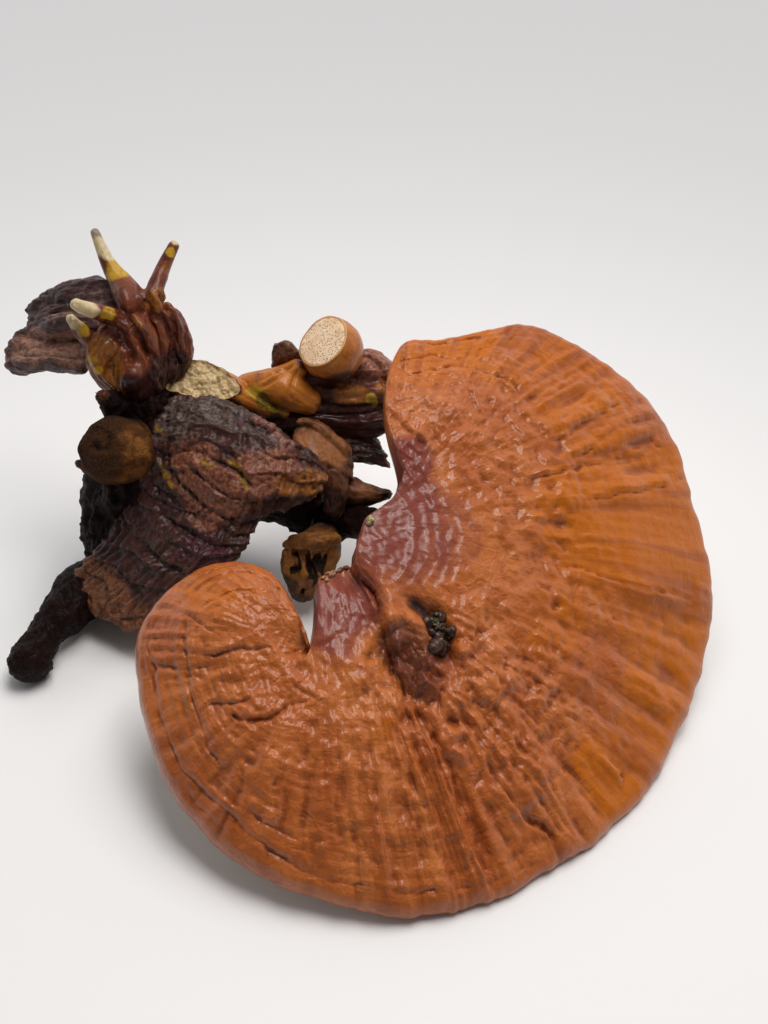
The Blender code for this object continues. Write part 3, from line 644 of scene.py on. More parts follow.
def blurred(table, reach):
    """A table of heights averaged over a square window, by running sums."""
    for axis in (0, 1):
        wide = np.concatenate([np.repeat(table.take([0], axis), reach + 1, axis), table], axis)
        wide = np.concatenate([wide, np.repeat(table.take([-1], axis), reach, axis)], axis)
        sums = np.cumsum(wide, axis)
        span = 2 * reach + 1
        count = table.shape[axis]
        table = (sums.take(range(span, span + count), axis) - sums.take(range(count), axis)) / span
    return table


# %% [markdown]
# Small tools that every piece uses: read and write a mesh's points as arrays, store a mask, and
# put the finished piece in the place of its solid.

# %% Tools for points, masks and hand-over
def points_of(mesh, field="co"):
    """The mesh's points as rows of x, y and z, or its normals if the field is normal."""
    flat = np.empty(len(mesh.vertices) * 3, np.float32)
    mesh.vertices.foreach_get(field, flat)
    return flat.reshape(-1, 3).astype(float)


def set_points(mesh, points):
    mesh.vertices.foreach_set("co", points.astype(np.float32).ravel())
    mesh.update()


def read_mask(mesh, name):
    values = np.empty(len(mesh.vertices), np.float32)
    mesh.attributes[name].data.foreach_get("value", values)
    return values.astype(float)


def write_mask(mesh, name, values):
    if name not in mesh.attributes:
        mesh.attributes.new(name, "FLOAT", "POINT")
    mesh.attributes[name].data.foreach_set("value", np.asarray(values, np.float32))


def hand_over(mesh, name, node, finish):
    """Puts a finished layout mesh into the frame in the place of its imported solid."""
    mesh.transform(INTO_FRAME)
    mesh.materials.clear()
    mesh.materials.append(finish)
    mesh.shade_smooth()
    piece = bpy.data.objects.new(name, mesh)
    bpy.context.scene.collection.objects.link(piece)
    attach(piece, "root")
    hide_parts(node)
    mesh.calc_loop_triangles()
    print(name, "triangles:", len(mesh.loop_triangles))
    return piece


# %% [markdown]
# ## Finishes
# Colours change from place to place by noise and by the masks that the meshes carry; gloss and
# bump follow the same noise. The patterns read object coordinates, which are the frame's own.

# %% Finish helpers
def masked(tree, name):
    """The number that a mask of the mesh holds at each place."""
    return add_node(tree, "Attribute", "Fac", {"attribute_name": name}, {})


def blend(tree, share, low, high):
    """Colour low where share is 0 and colour high where it is 1."""
    return add_node(tree, "Mix", 2, {"data_type": "RGBA"}, {0: share, 6: low, 7: high})


def speckle(tree, size, detail=3.0, distortion=0.0):
    """Noise in object coordinates with spots about that many millimetres across."""
    spot = add_node(tree, "TexCoord", "Object", {}, {})
    settings = {"Vector": spot, "Scale": 1 / (size * MM), "Detail": detail, "Distortion": distortion}
    return add_node(tree, "TexNoise", "Fac", {}, settings)


def pored(tree, spacing):
    """Distance from the middle of each pore, with pores that many millimetres apart."""
    spot = add_node(tree, "TexCoord", "Object", {}, {})
    return add_node(tree, "TexVoronoi", "Distance", {}, {"Vector": spot, "Scale": 1 / (spacing * MM)})


def creased(tree, size):
    """Sharp folds about that many millimetres apart, from about 0 to 1, like crumpled leather."""
    low = speckle(tree, size, 1.0, 0.8)
    high = speckle(tree, 0.45 * size, 1.0, 0.6)
    folds = (reckon(tree, "ABSOLUTE", reckon(tree, "SUBTRACT", value, 0.5), 0.0) for value in (low, high))
    first, second = (reckon(tree, "MULTIPLY", fold, gain) for fold, gain in zip(folds, (4.0, 1.8)))
    return reckon(tree, "ADD", first, second)


def bumped(tree, height, depth):
    """Normals bent by a height of that many millimetres."""
    return add_node(tree, "Bump", "Normal", {}, {"Height": height, "Distance": depth * MM, "Strength": 1.0})


def new_finish(name, coat=0.0, coat_roughness=0.2, specular=0.3):
    """A new material with a clear coat, its node tree and its shader."""
    made = bpy.data.materials.new(name)
    made.use_nodes = True
    shader = made.node_tree.nodes["Principled BSDF"]
    shader.inputs["Coat Weight"].default_value = coat
    shader.inputs["Coat Roughness"].default_value = coat_roughness
    shader.inputs["Specular IOR Level"].default_value = specular
    return made, made.node_tree, shader


# %% [markdown]
# ### Lacquered crust
# The crust of the real cap is a thin resinous varnish over corky flesh. Its colour is orange-brown,
# more ochre at the growing margin, plum where it is oldest, and drawn out in red-brown streaks
# towards the margin. Painted shade darkens every fold, and the pit is dark with dirt and with
# painted shade in the hollows round it. The gloss is in a clear coat, so the colour below stays deep
# where nothing bright is mirrored. The pore face below is cream, with painted shade in its pores.

# %% Lacquered crust
def grown_noise(tree, across, outward, shares, scale, detail):
    """Noise in the cap's growth coordinates; a small share draws it out that way."""
    x, y = (reckon(tree, "MULTIPLY", value, share) for value, share in zip((across, outward), shares))
    place = add_node(tree, "CombineXYZ", 0, {}, {"X": x, "Y": y})
    return add_node(tree, "TexNoise", "Fac", {}, {"Vector": place, "Scale": scale, "Detail": detail})


def lacquered_crust():
    made, tree, shader = new_finish("lacquered_crust", coat=0.45, coat_roughness=0.15, specular=0.24)
    broad = speckle(tree, 26.0, 2.0)
    patchy = speckle(tree, 9.0, 4.0, 0.6)
    fine = speckle(tree, 1.6, 4.0)
    side, grow, turn, hollow, pit_dirt_and_shade = (masked(tree, name) for name in ("side", "grow", "turn", "hollow", "pit_dirt_and_shade"))
    ochre = reckon(tree, "ADD", masked(tree, "ochre"), ranged(tree, patchy, 0.3, 0.7, -0.15, 0.15))
    plum = reckon(tree, "ADD", masked(tree, "plum"), ranged(tree, patchy, 0.3, 0.7, -0.12, 0.12))
    across = reckon(tree, "MULTIPLY", turn, CAP_MARGIN_LENGTH)
    outward = reckon(tree, "MULTIPLY", grow, CAP_REACH)
    streaks = ranged(tree, grown_noise(tree, across, outward, (1, 0.12), 0.12, 4.0), 0.48, 0.64, 0.0, 0.68)
    colour = blend(tree, ranged(tree, broad, 0.35, 0.65), (0.41, 0.102, 0.02), (0.49, 0.142, 0.032))
    for share, tone in [
        (ranged(tree, patchy, 0.45, 0.75), (0.35, 0.082, 0.013)),
        (ranged(tree, ochre, 0.25, 0.75), (0.49, 0.122, 0.001)),
        (ranged(tree, plum, 0.2, 0.85), (0.2, 0.038, 0.024)),
        (ranged(tree, fine, 0.35, 0.75, 0.0, 0.22), (0.25, 0.055, 0.01)),
        # Painted shade: every fold is darkened by how hollow the skin is there.
        (ranged(tree, hollow, 0.1, 1.1, 0.0, 0.65), (0.17, 0.032, 0.008)),
        # Dark dirt in the pit, with painted shade in the hollows round it.
        (ranged(tree, pit_dirt_and_shade, 0.15, 0.6, 0.0, 0.85), (0.085, 0.018, 0.008)),
        (ranged(tree, pit_dirt_and_shade, 0.65, 0.95), (0.025, 0.009, 0.005)),
        (reckon(tree, "MULTIPLY", streaks, ranged(tree, grow, 0.35, 0.6)), (0.3, 0.066, 0.009)),
    ]:
        colour = blend(tree, share, colour, tone)
    cream = blend(tree, ranged(tree, patchy, 0.3, 0.7), (0.62, 0.45, 0.25), (0.72, 0.56, 0.36))
    # Painted shade: each pore is darker at its middle, where the hole is.
    cream = blend(tree, ranged(tree, pored(tree, 0.7), 0.1, 0.35), (0.32, 0.19, 0.09), cream)
    below = reckon(tree, "MULTIPLY", ranged(tree, side, -0.5, -0.9), ranged(tree, grow, 0.08, 0.2))
    below = reckon(tree, "MULTIPLY", below, ranged(tree, turn, 0.03, 0.06))
    colour = blend(tree, below, colour, cream)
    wire(tree, shader.inputs["Base Color"], colour)
    matt_below = reckon(tree, "MULTIPLY", below, 0.4)
    gloss = reckon(tree, "ADD", ranged(tree, patchy, 0.3, 0.7, 0.34, 0.46), matt_below)
    wire(tree, shader.inputs["Roughness"], reckon(tree, "ADD", gloss, ranged(tree, ochre, 0.3, 0.8, 0.0, 0.1)))
    rays = grown_noise(tree, across, outward, (1, 0.15), 0.6, 3.0)
    rings = grown_noise(tree, across, outward, (0.12, 1), 0.8, 3.0)
    smooth = reckon(tree, "MAXIMUM", ochre, plum)
    crumple = reckon(tree, "MULTIPLY", creased(tree, 4.6), ranged(tree, smooth, 0.2, 0.9, 0.8, 0.2))
    growth = reckon(tree, "ADD", reckon(tree, "MULTIPLY", rays, 0.9), reckon(tree, "MULTIPLY", rings, 0.9))
    growth = reckon(tree, "ADD", growth, reckon(tree, "MULTIPLY", fine, 0.5))
    wire(tree, shader.inputs["Normal"], bumped(tree, reckon(tree, "ADD", crumple, growth), 0.24))
    return made


crust = lacquered_crust()

# %% [markdown]
# The cap is swept, and masks say where it is plum or ochre, and where the pit is dark with dirt and
# painted shade. Their zones are places in the cap's own plane, each with its radius and its value.

# %% Make the big cap
cap_mesh = swept_cap()
cap_points = points_of(cap_mesh)
in_plane = np.array([(CAP_PLANE.inverted() @ Vector(p))[:2] for p in cap_points])
plum_zones = [
    (12, 14, 13, 1.0),
    (26, 10, 9, 0.6),
    (8, 34, 7, 1.0),
    (12, 40, 5, 0.8),
    (-6, -16, 8, 1.0),
    (-7, -28, 5, 0.7),
]
ochre_zones = [
    (100, 35, 22, 1.0),
    (122, 40, 16, 1.0),
    (120, -10, 16, 0.9),
    (112, -38, 12, 0.9),
    (92, -58, 10, 0.9),
    (70, 84, 16, 0.7),
    (30, 92, 12, 0.8),
    (10, 80, 8, 0.7),
    (-45, -10, 9, 0.6),
    (-60, -50, 8, 0.4),
    (78, 28, 12, 0.9),
    (66, -10, 8, 0.6),
    (10, -55, 4, 0.5),
]
# Dark dirt in the pit and painted shade in the hollows beside it.
pit_dirt_and_shade_zones = [
    (13, -26, 4.4, 0.62),
    (18, -32, 4.4, 0.66),
    (23, -38, 4.0, 0.6),
    (27, -27, 3.0, 0.85),
    (19, -24, 3.6, 0.5),
    (28, -33, 3.0, 0.4),
]
write_mask(cap_mesh, "plum", zoned(in_plane, 0.0, plum_zones))
write_mask(cap_mesh, "ochre", zoned(in_plane, 0.1, ochre_zones))
in_pit = bell(to_line(in_plane, CAP_PIT)[0], 2.8)
write_mask(cap_mesh, "pit_dirt_and_shade", np.maximum(zoned(in_plane, 0.0, pit_dirt_and_shade_zones), in_pit))
cap_normals = points_of(cap_mesh, "normal")
hand_over(cap_mesh, "big_cap_skin", "big_cap", crust)

# %% [markdown]
# Four small things sit on the cap: a mass of dark resin in the pit, the grains that stuck to it, a
# cream bud at the hub, and a crusty tip where the neck tore. Each is a heap of small uneven grains,
# set on the skin at random round its place.

# %% Grains on the big cap
def on_cap(x, y, lift):
    """The place on the cap's skin above a place in its plane, and lifted along the normal."""
    far = np.hypot(in_plane[:, 0] - x, in_plane[:, 1] - y)
    index = int(np.argmin(far + 1000 * below_cap))
    return Vector(cap_points[index]) + Vector(cap_normals[index]) * lift


def grain_heap(name, finish, grains, seed):
    """Small stretched balls of a few dozen faces at layout places, each with its size."""
    rng = np.random.default_rng(seed)
    bm = bmesh.new()
    for place, size in grains:
        turned = Euler(rng.uniform(0, 3, 3)).to_matrix().to_4x4()
        stretch = Matrix.Diagonal((*(size * rng.uniform(0.7, 1.25, 3)), 1))
        matrix = Matrix.Translation(place) @ turned @ stretch
        bmesh.ops.create_icosphere(bm, subdivisions=2, radius=1.0, matrix=matrix)
    mesh = bpy.data.meshes.new(name)
    bm.to_mesh(mesh)
    bm.free()
    return hand_over(mesh, name, "big_cap", finish)


def grain_finish(name, low, high, coat=0.2):
    """Spots of one colour on another."""
    made, tree, shader = new_finish(name, coat=coat)
    spot = speckle(tree, 2.2, 3.0)
    wire(tree, shader.inputs["Base Color"], blend(tree, ranged(tree, spot, 0.45, 0.65), low, high))
    wire(tree, shader.inputs["Roughness"], ranged(tree, spot, 0.3, 0.7, 0.35, 0.6))
    wire(tree, shader.inputs["Normal"], bumped(tree, speckle(tree, 0.6, 3.0), 0.1))
    return made


PIT_MASS_COUNT = 22
PIT_GRAIN_COUNT = 46
TIP_GRAIN_COUNT = 16
rng = np.random.default_rng(5)
below_cap = cap_normals @ np.array(CAP_PLANE.col[2][:3]) < 0.2
mass = []
for _ in range(PIT_MASS_COUNT):
    round_way, out = rng.uniform(0, 2 * math.pi), math.sqrt(rng.uniform(0, 1))
    x, y = 27 + 4.2 * out * math.cos(round_way), -20.5 + 6.5 * out * math.sin(round_way)
    mass.append((on_cap(x, y, 0.9 - 1.2 * out), rng.uniform(2.0, 3.2)))
resin = grain_finish("dark_resin", (0.022, 0.007, 0.004), (0.07, 0.025, 0.01), 0.5)
grain_heap("pit_resin", resin, mass, 5)

clump = []
for _ in range(PIT_GRAIN_COUNT):
    share, aside = rng.uniform(0, 1), rng.normal(0, 1.2)
    place = on_cap(23.5 + 5.5 * share + 1.2 * aside, -15 - 7 * share + aside, rng.uniform(2.0, 3.2))
    clump.append((place, rng.uniform(0.45, 0.9)))
dust = grain_finish("dark_grain", (0.03, 0.018, 0.008), (0.16, 0.14, 0.06))
grain_heap("pit_grains", dust, clump, 6)

bud_grains = [(on_cap(0.0, 14.4, 0.8), 1.5), (on_cap(0.4, 12.8, 0.6), 1.2), (on_cap(1.0, 13.6, 1.6), 0.8)]
cream_bud = grain_finish("hub_bud", (0.24, 0.17, 0.06), (0.5, 0.4, 0.22))
grain_heap("hub_bud", cream_bud, bud_grains, 7)
tip_grains = []
for share in rng.uniform(0, 1, TIP_GRAIN_COUNT):
    place = on_cap(-13 + 8 * share, -6 + 6 * share + rng.normal(0, 0.6), 0.2)
    tip_grains.append((place, rng.uniform(0.5, 1.0)))
tear = grain_finish("torn_tip", (0.12, 0.04, 0.022), (0.4, 0.22, 0.12), 0.0)
grain_heap("torn_tip", tear, tip_grains, 8)

# %% [markdown]
# ## Building the cluster
# Stubs, branches and fingers are swept as round tubes; thin caps are swept as closed sheets. Both
# are grids whose points are moved to their places, and both remember growth coordinates: across,
# through and along the way they grew. `fuse` knits parts that run into each other into one skin
# with a voxel remesh, which is how a branch really swells out of its stock, and brings the growth
# coordinates back from the nearest points.

# %% Tubes, sheets and balls
GROWTH = ("across", "through", "along", "part")
PART_APART = 53.0
PART_WELD = 0.02


def grid_spots(bm, columns, rows):
    """Fills bm with a grid and gives each of its points as two shares from 0 to 1."""
    bmesh.ops.create_grid(bm, x_segments=columns, y_segments=rows, size=1.0)
    return np.array([vert.co[:2] for vert in bm.verts]) * 0.5 + 0.5


def closed_part(bm, points, growth):
    """Moves a grid's points, stores how they grew, and welds the seam and the ends."""
    layers = [bm.verts.layers.float.new(name) for name in GROWTH]
    for vert, point, grown in zip(bm.verts, points, growth):
        vert.co = point
        for layer, value in zip(layers, grown):
            vert[layer] = value
    bmesh.ops.remove_doubles(bm, verts=bm.verts, dist=PART_WELD)
    bmesh.ops.recalc_face_normals(bm, faces=bm.faces)
    mesh = bpy.data.meshes.new("part")
    bm.to_mesh(mesh)
    bm.free()
    return mesh


def unit(rows):
    """Each row made one long."""
    return rows / (np.linalg.norm(rows, axis=1, keepdims=True) + 1e-9)


def tube(run, part=0, spacing=0.6):
    """A round branch through points of x, y, z and radius, closed at both ends."""
    knots = np.array(run, float)
    length = np.linalg.norm(np.diff(knots[:, :3], axis=0), axis=1).sum()
    mean = knots[:, 3].mean()
    bm = bmesh.new()
    spots = grid_spots(bm, max(16, int(2 * math.pi * mean / spacing)), max(12, int(length / spacing)))
    angle = 2 * math.pi * spots[:, 0]
    v = spots[:, 1]
    line = through(knots, v)
    ahead, behind = (through(knots[:, :3], np.clip(v + step, 0, 1)) for step in (0.02, -0.02))
    tangent = unit(ahead - behind)
    level = np.eye(3)[np.argmin(np.abs(knots[-1, :3] - knots[0, :3]))]
    side = unit(np.cross(tangent, level))
    rise = np.cross(side, tangent)
    radius = line[:, 3]
    left = np.clip(np.minimum(v, 1 - v) * length / radius, 0, 1)
    reach = radius * np.sqrt(1 - (1 - left) ** 2)
    spoke = side * np.cos(angle)[:, None] + rise * np.sin(angle)[:, None]
    points = line[:, :3] + spoke * reach[:, None]
    growth = np.column_stack([np.cos(angle) * mean, np.sin(angle) * mean, v * length, np.full(len(v), part)])
    return closed_part(bm, points, growth)


def tubes(runs, first=0, spacing=0.6):
    """One tube for each run; their parts are numbered from first on."""
    return [tube(run, first + index, spacing) for index, run in enumerate(runs)]


def woven(rows, u, v):
    """The smooth surface through rows of points."""
    return spline(np.stack([through(row, u) for row in rows]), v, np.arange(len(u)))


def sheet(rows, thickness, part=0, spacing=0.6):
    """A thin cap through rows of points, with a rounded edge all the way round."""
    rows = np.array(rows, float)
    width = np.linalg.norm(np.diff(rows, axis=1), axis=2).sum(axis=1).mean()
    height = np.linalg.norm(np.diff(rows, axis=0), axis=2).sum(axis=0).mean()
    bm = bmesh.new()
    spots = grid_spots(bm, int(width / spacing), 2 * int(height / spacing))
    u = spots[:, 0]
    v = 1 - np.abs(2 * spots[:, 1] - 1)
    face = np.where(spots[:, 1] < 0.5, 1.0, -1.0)
    step = 0.01
    over = woven(rows, np.minimum(u + step, 1), v) - woven(rows, np.maximum(u - step, 0), v)
    down = woven(rows, u, np.minimum(v + step, 1)) - woven(rows, u, np.maximum(v - step, 0))
    outward = unit(np.cross(down, over))
    edge = np.minimum(np.minimum(u, 1 - u) * width, np.minimum(v, 1 - v) * height)
    half = thickness / 2 * np.sqrt(1 - (1 - np.clip(edge / (0.6 * thickness), 0, 1)) ** 2)
    points = woven(rows, u, v) + outward * (half * face)[:, None]
    growth = np.column_stack([u * width, half * face, v * height, np.full(len(u), part)])
    return closed_part(bm, points, growth)


def ball(centre, size, turn=(0, 0, 0), part=0):
    """A ball stretched to size along its own axes, then turned, in degrees."""
    bm = bmesh.new()
    bmesh.ops.create_icosphere(bm, subdivisions=5, radius=1.0)
    turned = Euler([math.radians(a) for a in turn]).to_matrix().to_4x4()
    place = Matrix.Translation(centre) @ turned @ Matrix.Diagonal((*size, 1))
    bmesh.ops.transform(bm, matrix=place, verts=bm.verts)
    points = np.array([vert.co[:] for vert in bm.verts])
    growth = np.column_stack([points - np.array(centre), np.full(len(points), part)])
    return closed_part(bm, points, growth)


# %% [markdown]
# A fused skin gets its wrinkles by being pushed along its normals. What it had before the push,
# averaged over its neighbours, says where it is hollow. Folds are lines like the creases above.

# %% Fuse parts into one skin
def evened(mesh, values, rounds):
    """Values averaged with their neighbours along the mesh's edges, that many times."""
    pairs = np.empty(len(mesh.edges) * 2, np.int32)
    mesh.edges.foreach_get("vertices", pairs)
    one, other = pairs.reshape(-1, 2).T
    count = len(mesh.vertices)
    degree = np.bincount(one, minlength=count) + np.bincount(other, minlength=count)
    for _ in range(rounds):
        sums = np.bincount(one, values[other], count) + np.bincount(other, values[one], count)
        values = 0.5 * values + 0.5 * sums / np.maximum(degree, 1)
    return values


def fuse(parts, voxel, rounds):
    """One skin round parts that run into each other, with their growth coordinates."""
    joined = bmesh.new()
    for part in parts:
        joined.from_mesh(part)
    source = bpy.data.meshes.new("parts")
    joined.to_mesh(source)
    joined.free()
    guide = bpy.data.objects.new("guide", source)
    bpy.context.scene.collection.objects.link(guide)
    remesh = guide.modifiers.new("knit", "REMESH")
    remesh.mode = "VOXEL"
    remesh.voxel_size = voxel
    soften = guide.modifiers.new("soften", "SMOOTH")
    soften.iterations = rounds
    graph = bpy.context.evaluated_depsgraph_get()
    mesh = bpy.data.meshes.new_from_object(guide.evaluated_get(graph))
    bpy.data.objects.remove(guide)

    tree = kdtree.KDTree(len(source.vertices))
    for vert in source.vertices:
        tree.insert(vert.co, vert.index)
    tree.balance()
    grown = np.column_stack([read_mask(source, name) for name in GROWTH])
    found = np.array([[hit[1] for hit in tree.find_n(vert.co, 3)] for vert in mesh.vertices])
    same = (grown[found, 3] == grown[found[:, :1], 3])[..., None]
    mixed = (grown[found] * same).sum(axis=1) / same.sum(axis=1)
    for column, name in enumerate(GROWTH):
        write_mask(mesh, name, mixed[:, column])
    return mesh


def growth_of(mesh):
    """Growth coordinates in millimetres: across, through and along; each part has its own."""
    grown = np.column_stack([read_mask(mesh, name) for name in GROWTH])
    return np.column_stack([grown[:, 0] + grown[:, 3] * PART_APART, grown[:, 1], grown[:, 2]])


def raise_skin(mesh, rise, hollow_rounds=8):
    """Pushes the skin out along its normals and keeps where it is hollow."""
    write_mask(mesh, "hollow", evened(mesh, rise, hollow_rounds) - rise)
    set_points(mesh, points_of(mesh) + points_of(mesh, "normal") * rise[:, None])


def folded_along(points, folds):
    """Ridges and furrows along lines; each line has its width and its height, below zero for a furrow."""
    rise = np.zeros(len(points))
    for line, width, height in folds:
        line = [points[np.argmin(((points - np.array(knot)) ** 2).sum(axis=1))] for knot in line]
        lows = np.min(line, axis=0) - 3 * width
        highs = np.max(line, axis=0) + 3 * width
        near = np.all((points > lows) & (points < highs), axis=1)
        away, share, side = to_line(points[near], line)
        rise[near] += height * bell(away, width) * (1 - 0.7 * np.abs(2 * share - 1) ** 4)
    return rise


def paint(mesh, **masks):
    """Stores one mask for each list of zones: place, radius and value."""
    points = points_of(mesh)
    for name, zones in masks.items():
        write_mask(mesh, name, zoned(points, 0.0, zones))


def cut_at_table(mesh):
    """Cuts everything below the table away and closes the cut."""
    bm = bmesh.new()
    bm.from_mesh(mesh)
    geometry = bm.verts[:] + bm.edges[:] + bm.faces[:]
    plane = {"plane_co": (0, 0, TABLE), "plane_no": (0, 0, 1)}
    cut = bmesh.ops.bisect_plane(bm, geom=geometry, clear_inner=True, **plane)
    rim = [item for item in cut["geom_cut"] if isinstance(item, bmesh.types.BMEdge)]
    bmesh.ops.holes_fill(bm, edges=rim)
    bm.to_mesh(mesh)
    bm.free()


def flatten(points, place, facing, keep=0.05):
    """Presses points beyond a plane back onto it, and says how far ahead of it each one was."""
    facing = np.array(Vector(facing).normalized())
    ahead = (points - np.array(place)) @ facing
    return points - facing * (np.clip(ahead, 0, None) * (1 - keep))[:, None], ahead


# %% [markdown]
# All the cluster's skins share one recipe: three tones mixed by coarse and fine noise, lighter
# ridges and painted shade in the hollows, patches of other colours where a mask says so (the lit,
# shade and painted sheen patches are painted light, shade and sheen), and a bump of sharp folds and
# fine grain. What differs is the tones, the patches and how glossy each one is.

# %% Skin finish
def skin_finish(name, tones, patches, gloss, coat=0.0, mottle=8.0, grain=1.4, depth=0.2, specular=0.2):
    """A skin of three tones, with patches of two tones each where their masks say so."""
    made, tree, shader = new_finish(name, coat=coat, coat_roughness=0.16, specular=specular)
    dark, middle, light = tones
    broad = speckle(tree, mottle, 3.0, 0.4)
    fine = speckle(tree, grain, 5.0)
    colour = blend(tree, ranged(tree, broad, 0.35, 0.65), dark, middle)
    colour = blend(tree, ranged(tree, fine, 0.45, 0.75, 0.0, 0.3), colour, light)
    colour = blend(tree, ranged(tree, masked(tree, "hollow"), -0.05, -0.5, 0.0, 0.6), colour, light)
    for mask, low, high in patches:
        patch = blend(tree, ranged(tree, fine, 0.35, 0.65), low, high)
        share = reckon(tree, "ADD", masked(tree, mask), ranged(tree, broad, 0.3, 0.7, -0.2, 0.2))
        colour = blend(tree, ranged(tree, share, 0.25, 0.75), colour, patch)
    # Painted shade: hollows are darkened towards a deeper copy of the dark tone.
    shade = ranged(tree, masked(tree, "hollow"), 0.03, 0.5, 0.0, 0.8)
    colour = blend(tree, shade, colour, tuple(0.35 * part for part in dark))
    wire(tree, shader.inputs["Base Color"], colour)
    wire(tree, shader.inputs["Roughness"], ranged(tree, fine, 0.3, 0.7, *gloss))
    wire(tree, shader.inputs["Normal"], bumped(tree, reckon(tree, "ADD", creased(tree, 2.4), fine), depth))
    return made


# %% [markdown]
# ## The trunk and the stalk
# The trunk is the woody stock, nearly black, sawn off flat below. A thick root runs from it to the
# right, where the stalk of the big cap rises.

# %% Trunk and stem
TRUNK_RUNS = [
    [(-101, 52, -4, 21), (-101, 58, 18, 21), (-100, 64, 44, 17), (-95, 71, 66, 14), (-93, 74, 80, 11)],
    [(-98, 62, 18, 18), (-70, 72, 24, 12), (-48, 70, 27, 8.5), (-26, 62, 24, 9)],
    [(-80, 68, 10, 14), (-74, 70, 36, 12), (-80, 72, 58, 12)],
]
TRUNK_SPIKES = [
    [(-106, 50, 54, 4), (-111, 48, 60, 2.4), (-114, 47, 64, 0.8)],
    [(-99, 62, 76, 5), (-103, 58, 84, 2.6), (-106, 56, 88, 0.7)],
]
STEM_RUN = [
    (-24, 60, 22, 9), (-17, 55, 27, 7), (-8, 46, 34, 6.5), (1, 30, 43, 8), (5, 8, 53, 11),
    (4, -8, 60, 13),
]

bark = skin_finish(
    "dark_bark",
    [(0.008, 0.003, 0.003), (0.014, 0.005, 0.004), (0.026, 0.009, 0.006)],
    [("warm", (0.07, 0.022, 0.012), (0.13, 0.05, 0.022))],
    gloss=(0.5, 0.7),
    coat=0.05,
    depth=0.35,
    specular=0.1,
)
trunk_mesh = fuse(tubes(TRUNK_RUNS + TRUNK_SPIKES), 0.8, 3)
bark_rise = 1.3 * pleated(points_of(trunk_mesh), 13.0, 71, 3)
bark_rise += 0.7 * layered(growth_of(trunk_mesh) / (1, 1, 3), 4.0, 74, 3, hard=True)
raise_skin(trunk_mesh, bark_rise)
paint(trunk_mesh, warm=[(-113, 47, 62, 3, 1.0), (-105, 57, 86, 3, 0.7), (-26, 62, 30, 4, 0.4)])
cut_at_table(trunk_mesh)
hand_over(trunk_mesh, "trunk_bark", "trunk", bark)

stem_mesh = fuse([tube(STEM_RUN)], 0.7, 3)
raise_skin(stem_mesh, 0.8 * layered(growth_of(stem_mesh) / (1, 1, 3), 6.0, 73, 4, hard=True))
paint(stem_mesh, warm=[(5, 8, 53, 6, 0.8)])
hand_over(stem_mesh, "stem_bark", "stem", bark)

# %% [markdown]
# ## The side cap
# This dark fan grew in two flushes. The first is thin and purple-brown, with wrinkles that fan out
# to a lighter margin at the lower left. The second is thicker, tan and mustard, and ends in a
# rolled lip over the first. Its top is dark and fibrous. Growth went by small steps, so the skin
# swells and drops again and again towards the margin.

# %% Side cap
SIDE_CAP_LOWER = [
    [(-88, 70, 68), (-75, 73, 68), (-62, 72, 67), (-50, 67, 63), (-38, 59, 58)],
    [(-91, 59, 59), (-78, 58, 58), (-64, 53, 57), (-50, 48, 56), (-38, 45, 53)],
    [(-96, 54, 49), (-84, 46, 46), (-70, 38, 44), (-57, 32, 41), (-49, 33, 41)],
    [(-108, 43, 29), (-94, 35, 31), (-80, 26, 32), (-66, 22, 32), (-55, 27, 34)],
    [(-121, 36, 17), (-117, 26, 11), (-104, 16, 9), (-88, 10, 10), (-70, 13, 22)],
]
SIDE_CAP_UPPER = [
    [(-88, 70, 72), (-76, 74, 74), (-62, 73, 73), (-49, 66, 70), (-37, 59, 65), (-28, 54, 59)],
    [(-90, 61, 66), (-77, 61, 69), (-62, 57, 69), (-46, 50, 66), (-34, 48, 60), (-22, 48, 55)],
    [(-88, 55, 58), (-78, 51, 58), (-64, 43, 58), (-49, 38, 56), (-36, 42, 54), (-24, 45, 51)],
    [(-85, 51, 50), (-76, 43, 46), (-65, 37, 43), (-56, 34, 43), (-46, 37, 47), (-33, 44, 51)],
]
SIDE_CAP_FOLDS = [
    ([(-81, 49, 59), (-77, 44, 55), (-67, 37, 50), (-58, 33, 47), (-50, 34, 48)], 1.1, -1.6),
    ([(-76, 48, 63), (-67, 41, 59), (-58, 37, 55), (-48, 35, 54)], 1.0, -1.4),
    ([(-64, 46, 65), (-58, 43, 64), (-53, 40, 63), (-48, 37, 58)], 0.9, -1.8),
    ([(-82, 52, 63), (-74, 50, 66), (-66, 48, 66)], 0.9, -1.0),
    ([(-88, 43, 46), (-78, 34, 43), (-69, 28, 42), (-58, 25, 40)], 1.2, -1.4),
    ([(-96, 37, 36), (-85, 26, 33), (-75, 20, 32)], 1.2, -1.3),
    ([(-103, 38, 34), (-91, 28, 32), (-81, 21, 30)], 1.4, 1.0),
    ([(-112, 34, 25), (-100, 24, 24), (-89, 16, 22)], 1.2, -1.0),
]
SIDE_TOP = [(-80, 62, 72, 6, 1.0), (-66, 65, 76, 6, 1.0), (-53, 61, 73, 5, 0.9), (-44, 57, 70, 5, 0.8)]
SIDE_CAP_LIPS = [
    [(-52, 60, 73, 1.4), (-46, 58, 73, 1.8), (-41, 56, 70, 1.9), (-36, 53, 66, 1.8), (-30, 50, 60, 1.4)],
    [
        (-86, 53, 53, 2.6), (-77, 45, 49, 3.2), (-66, 38, 46, 3.6), (-57, 35, 46, 3.6),
        (-47, 37, 49, 3.0), (-38, 42, 52, 2.4),
    ],
]
side_parts = [sheet(SIDE_CAP_LOWER, 6.0, 0), sheet(SIDE_CAP_UPPER, 7.0, 1)]
side_mesh = fuse(side_parts + tubes(SIDE_CAP_LIPS, 2), 0.55, 3)
spots = points_of(side_mesh)
across, _, along = growth_of(side_mesh).T
fibrous = zoned(spots, 0.0, SIDE_TOP)
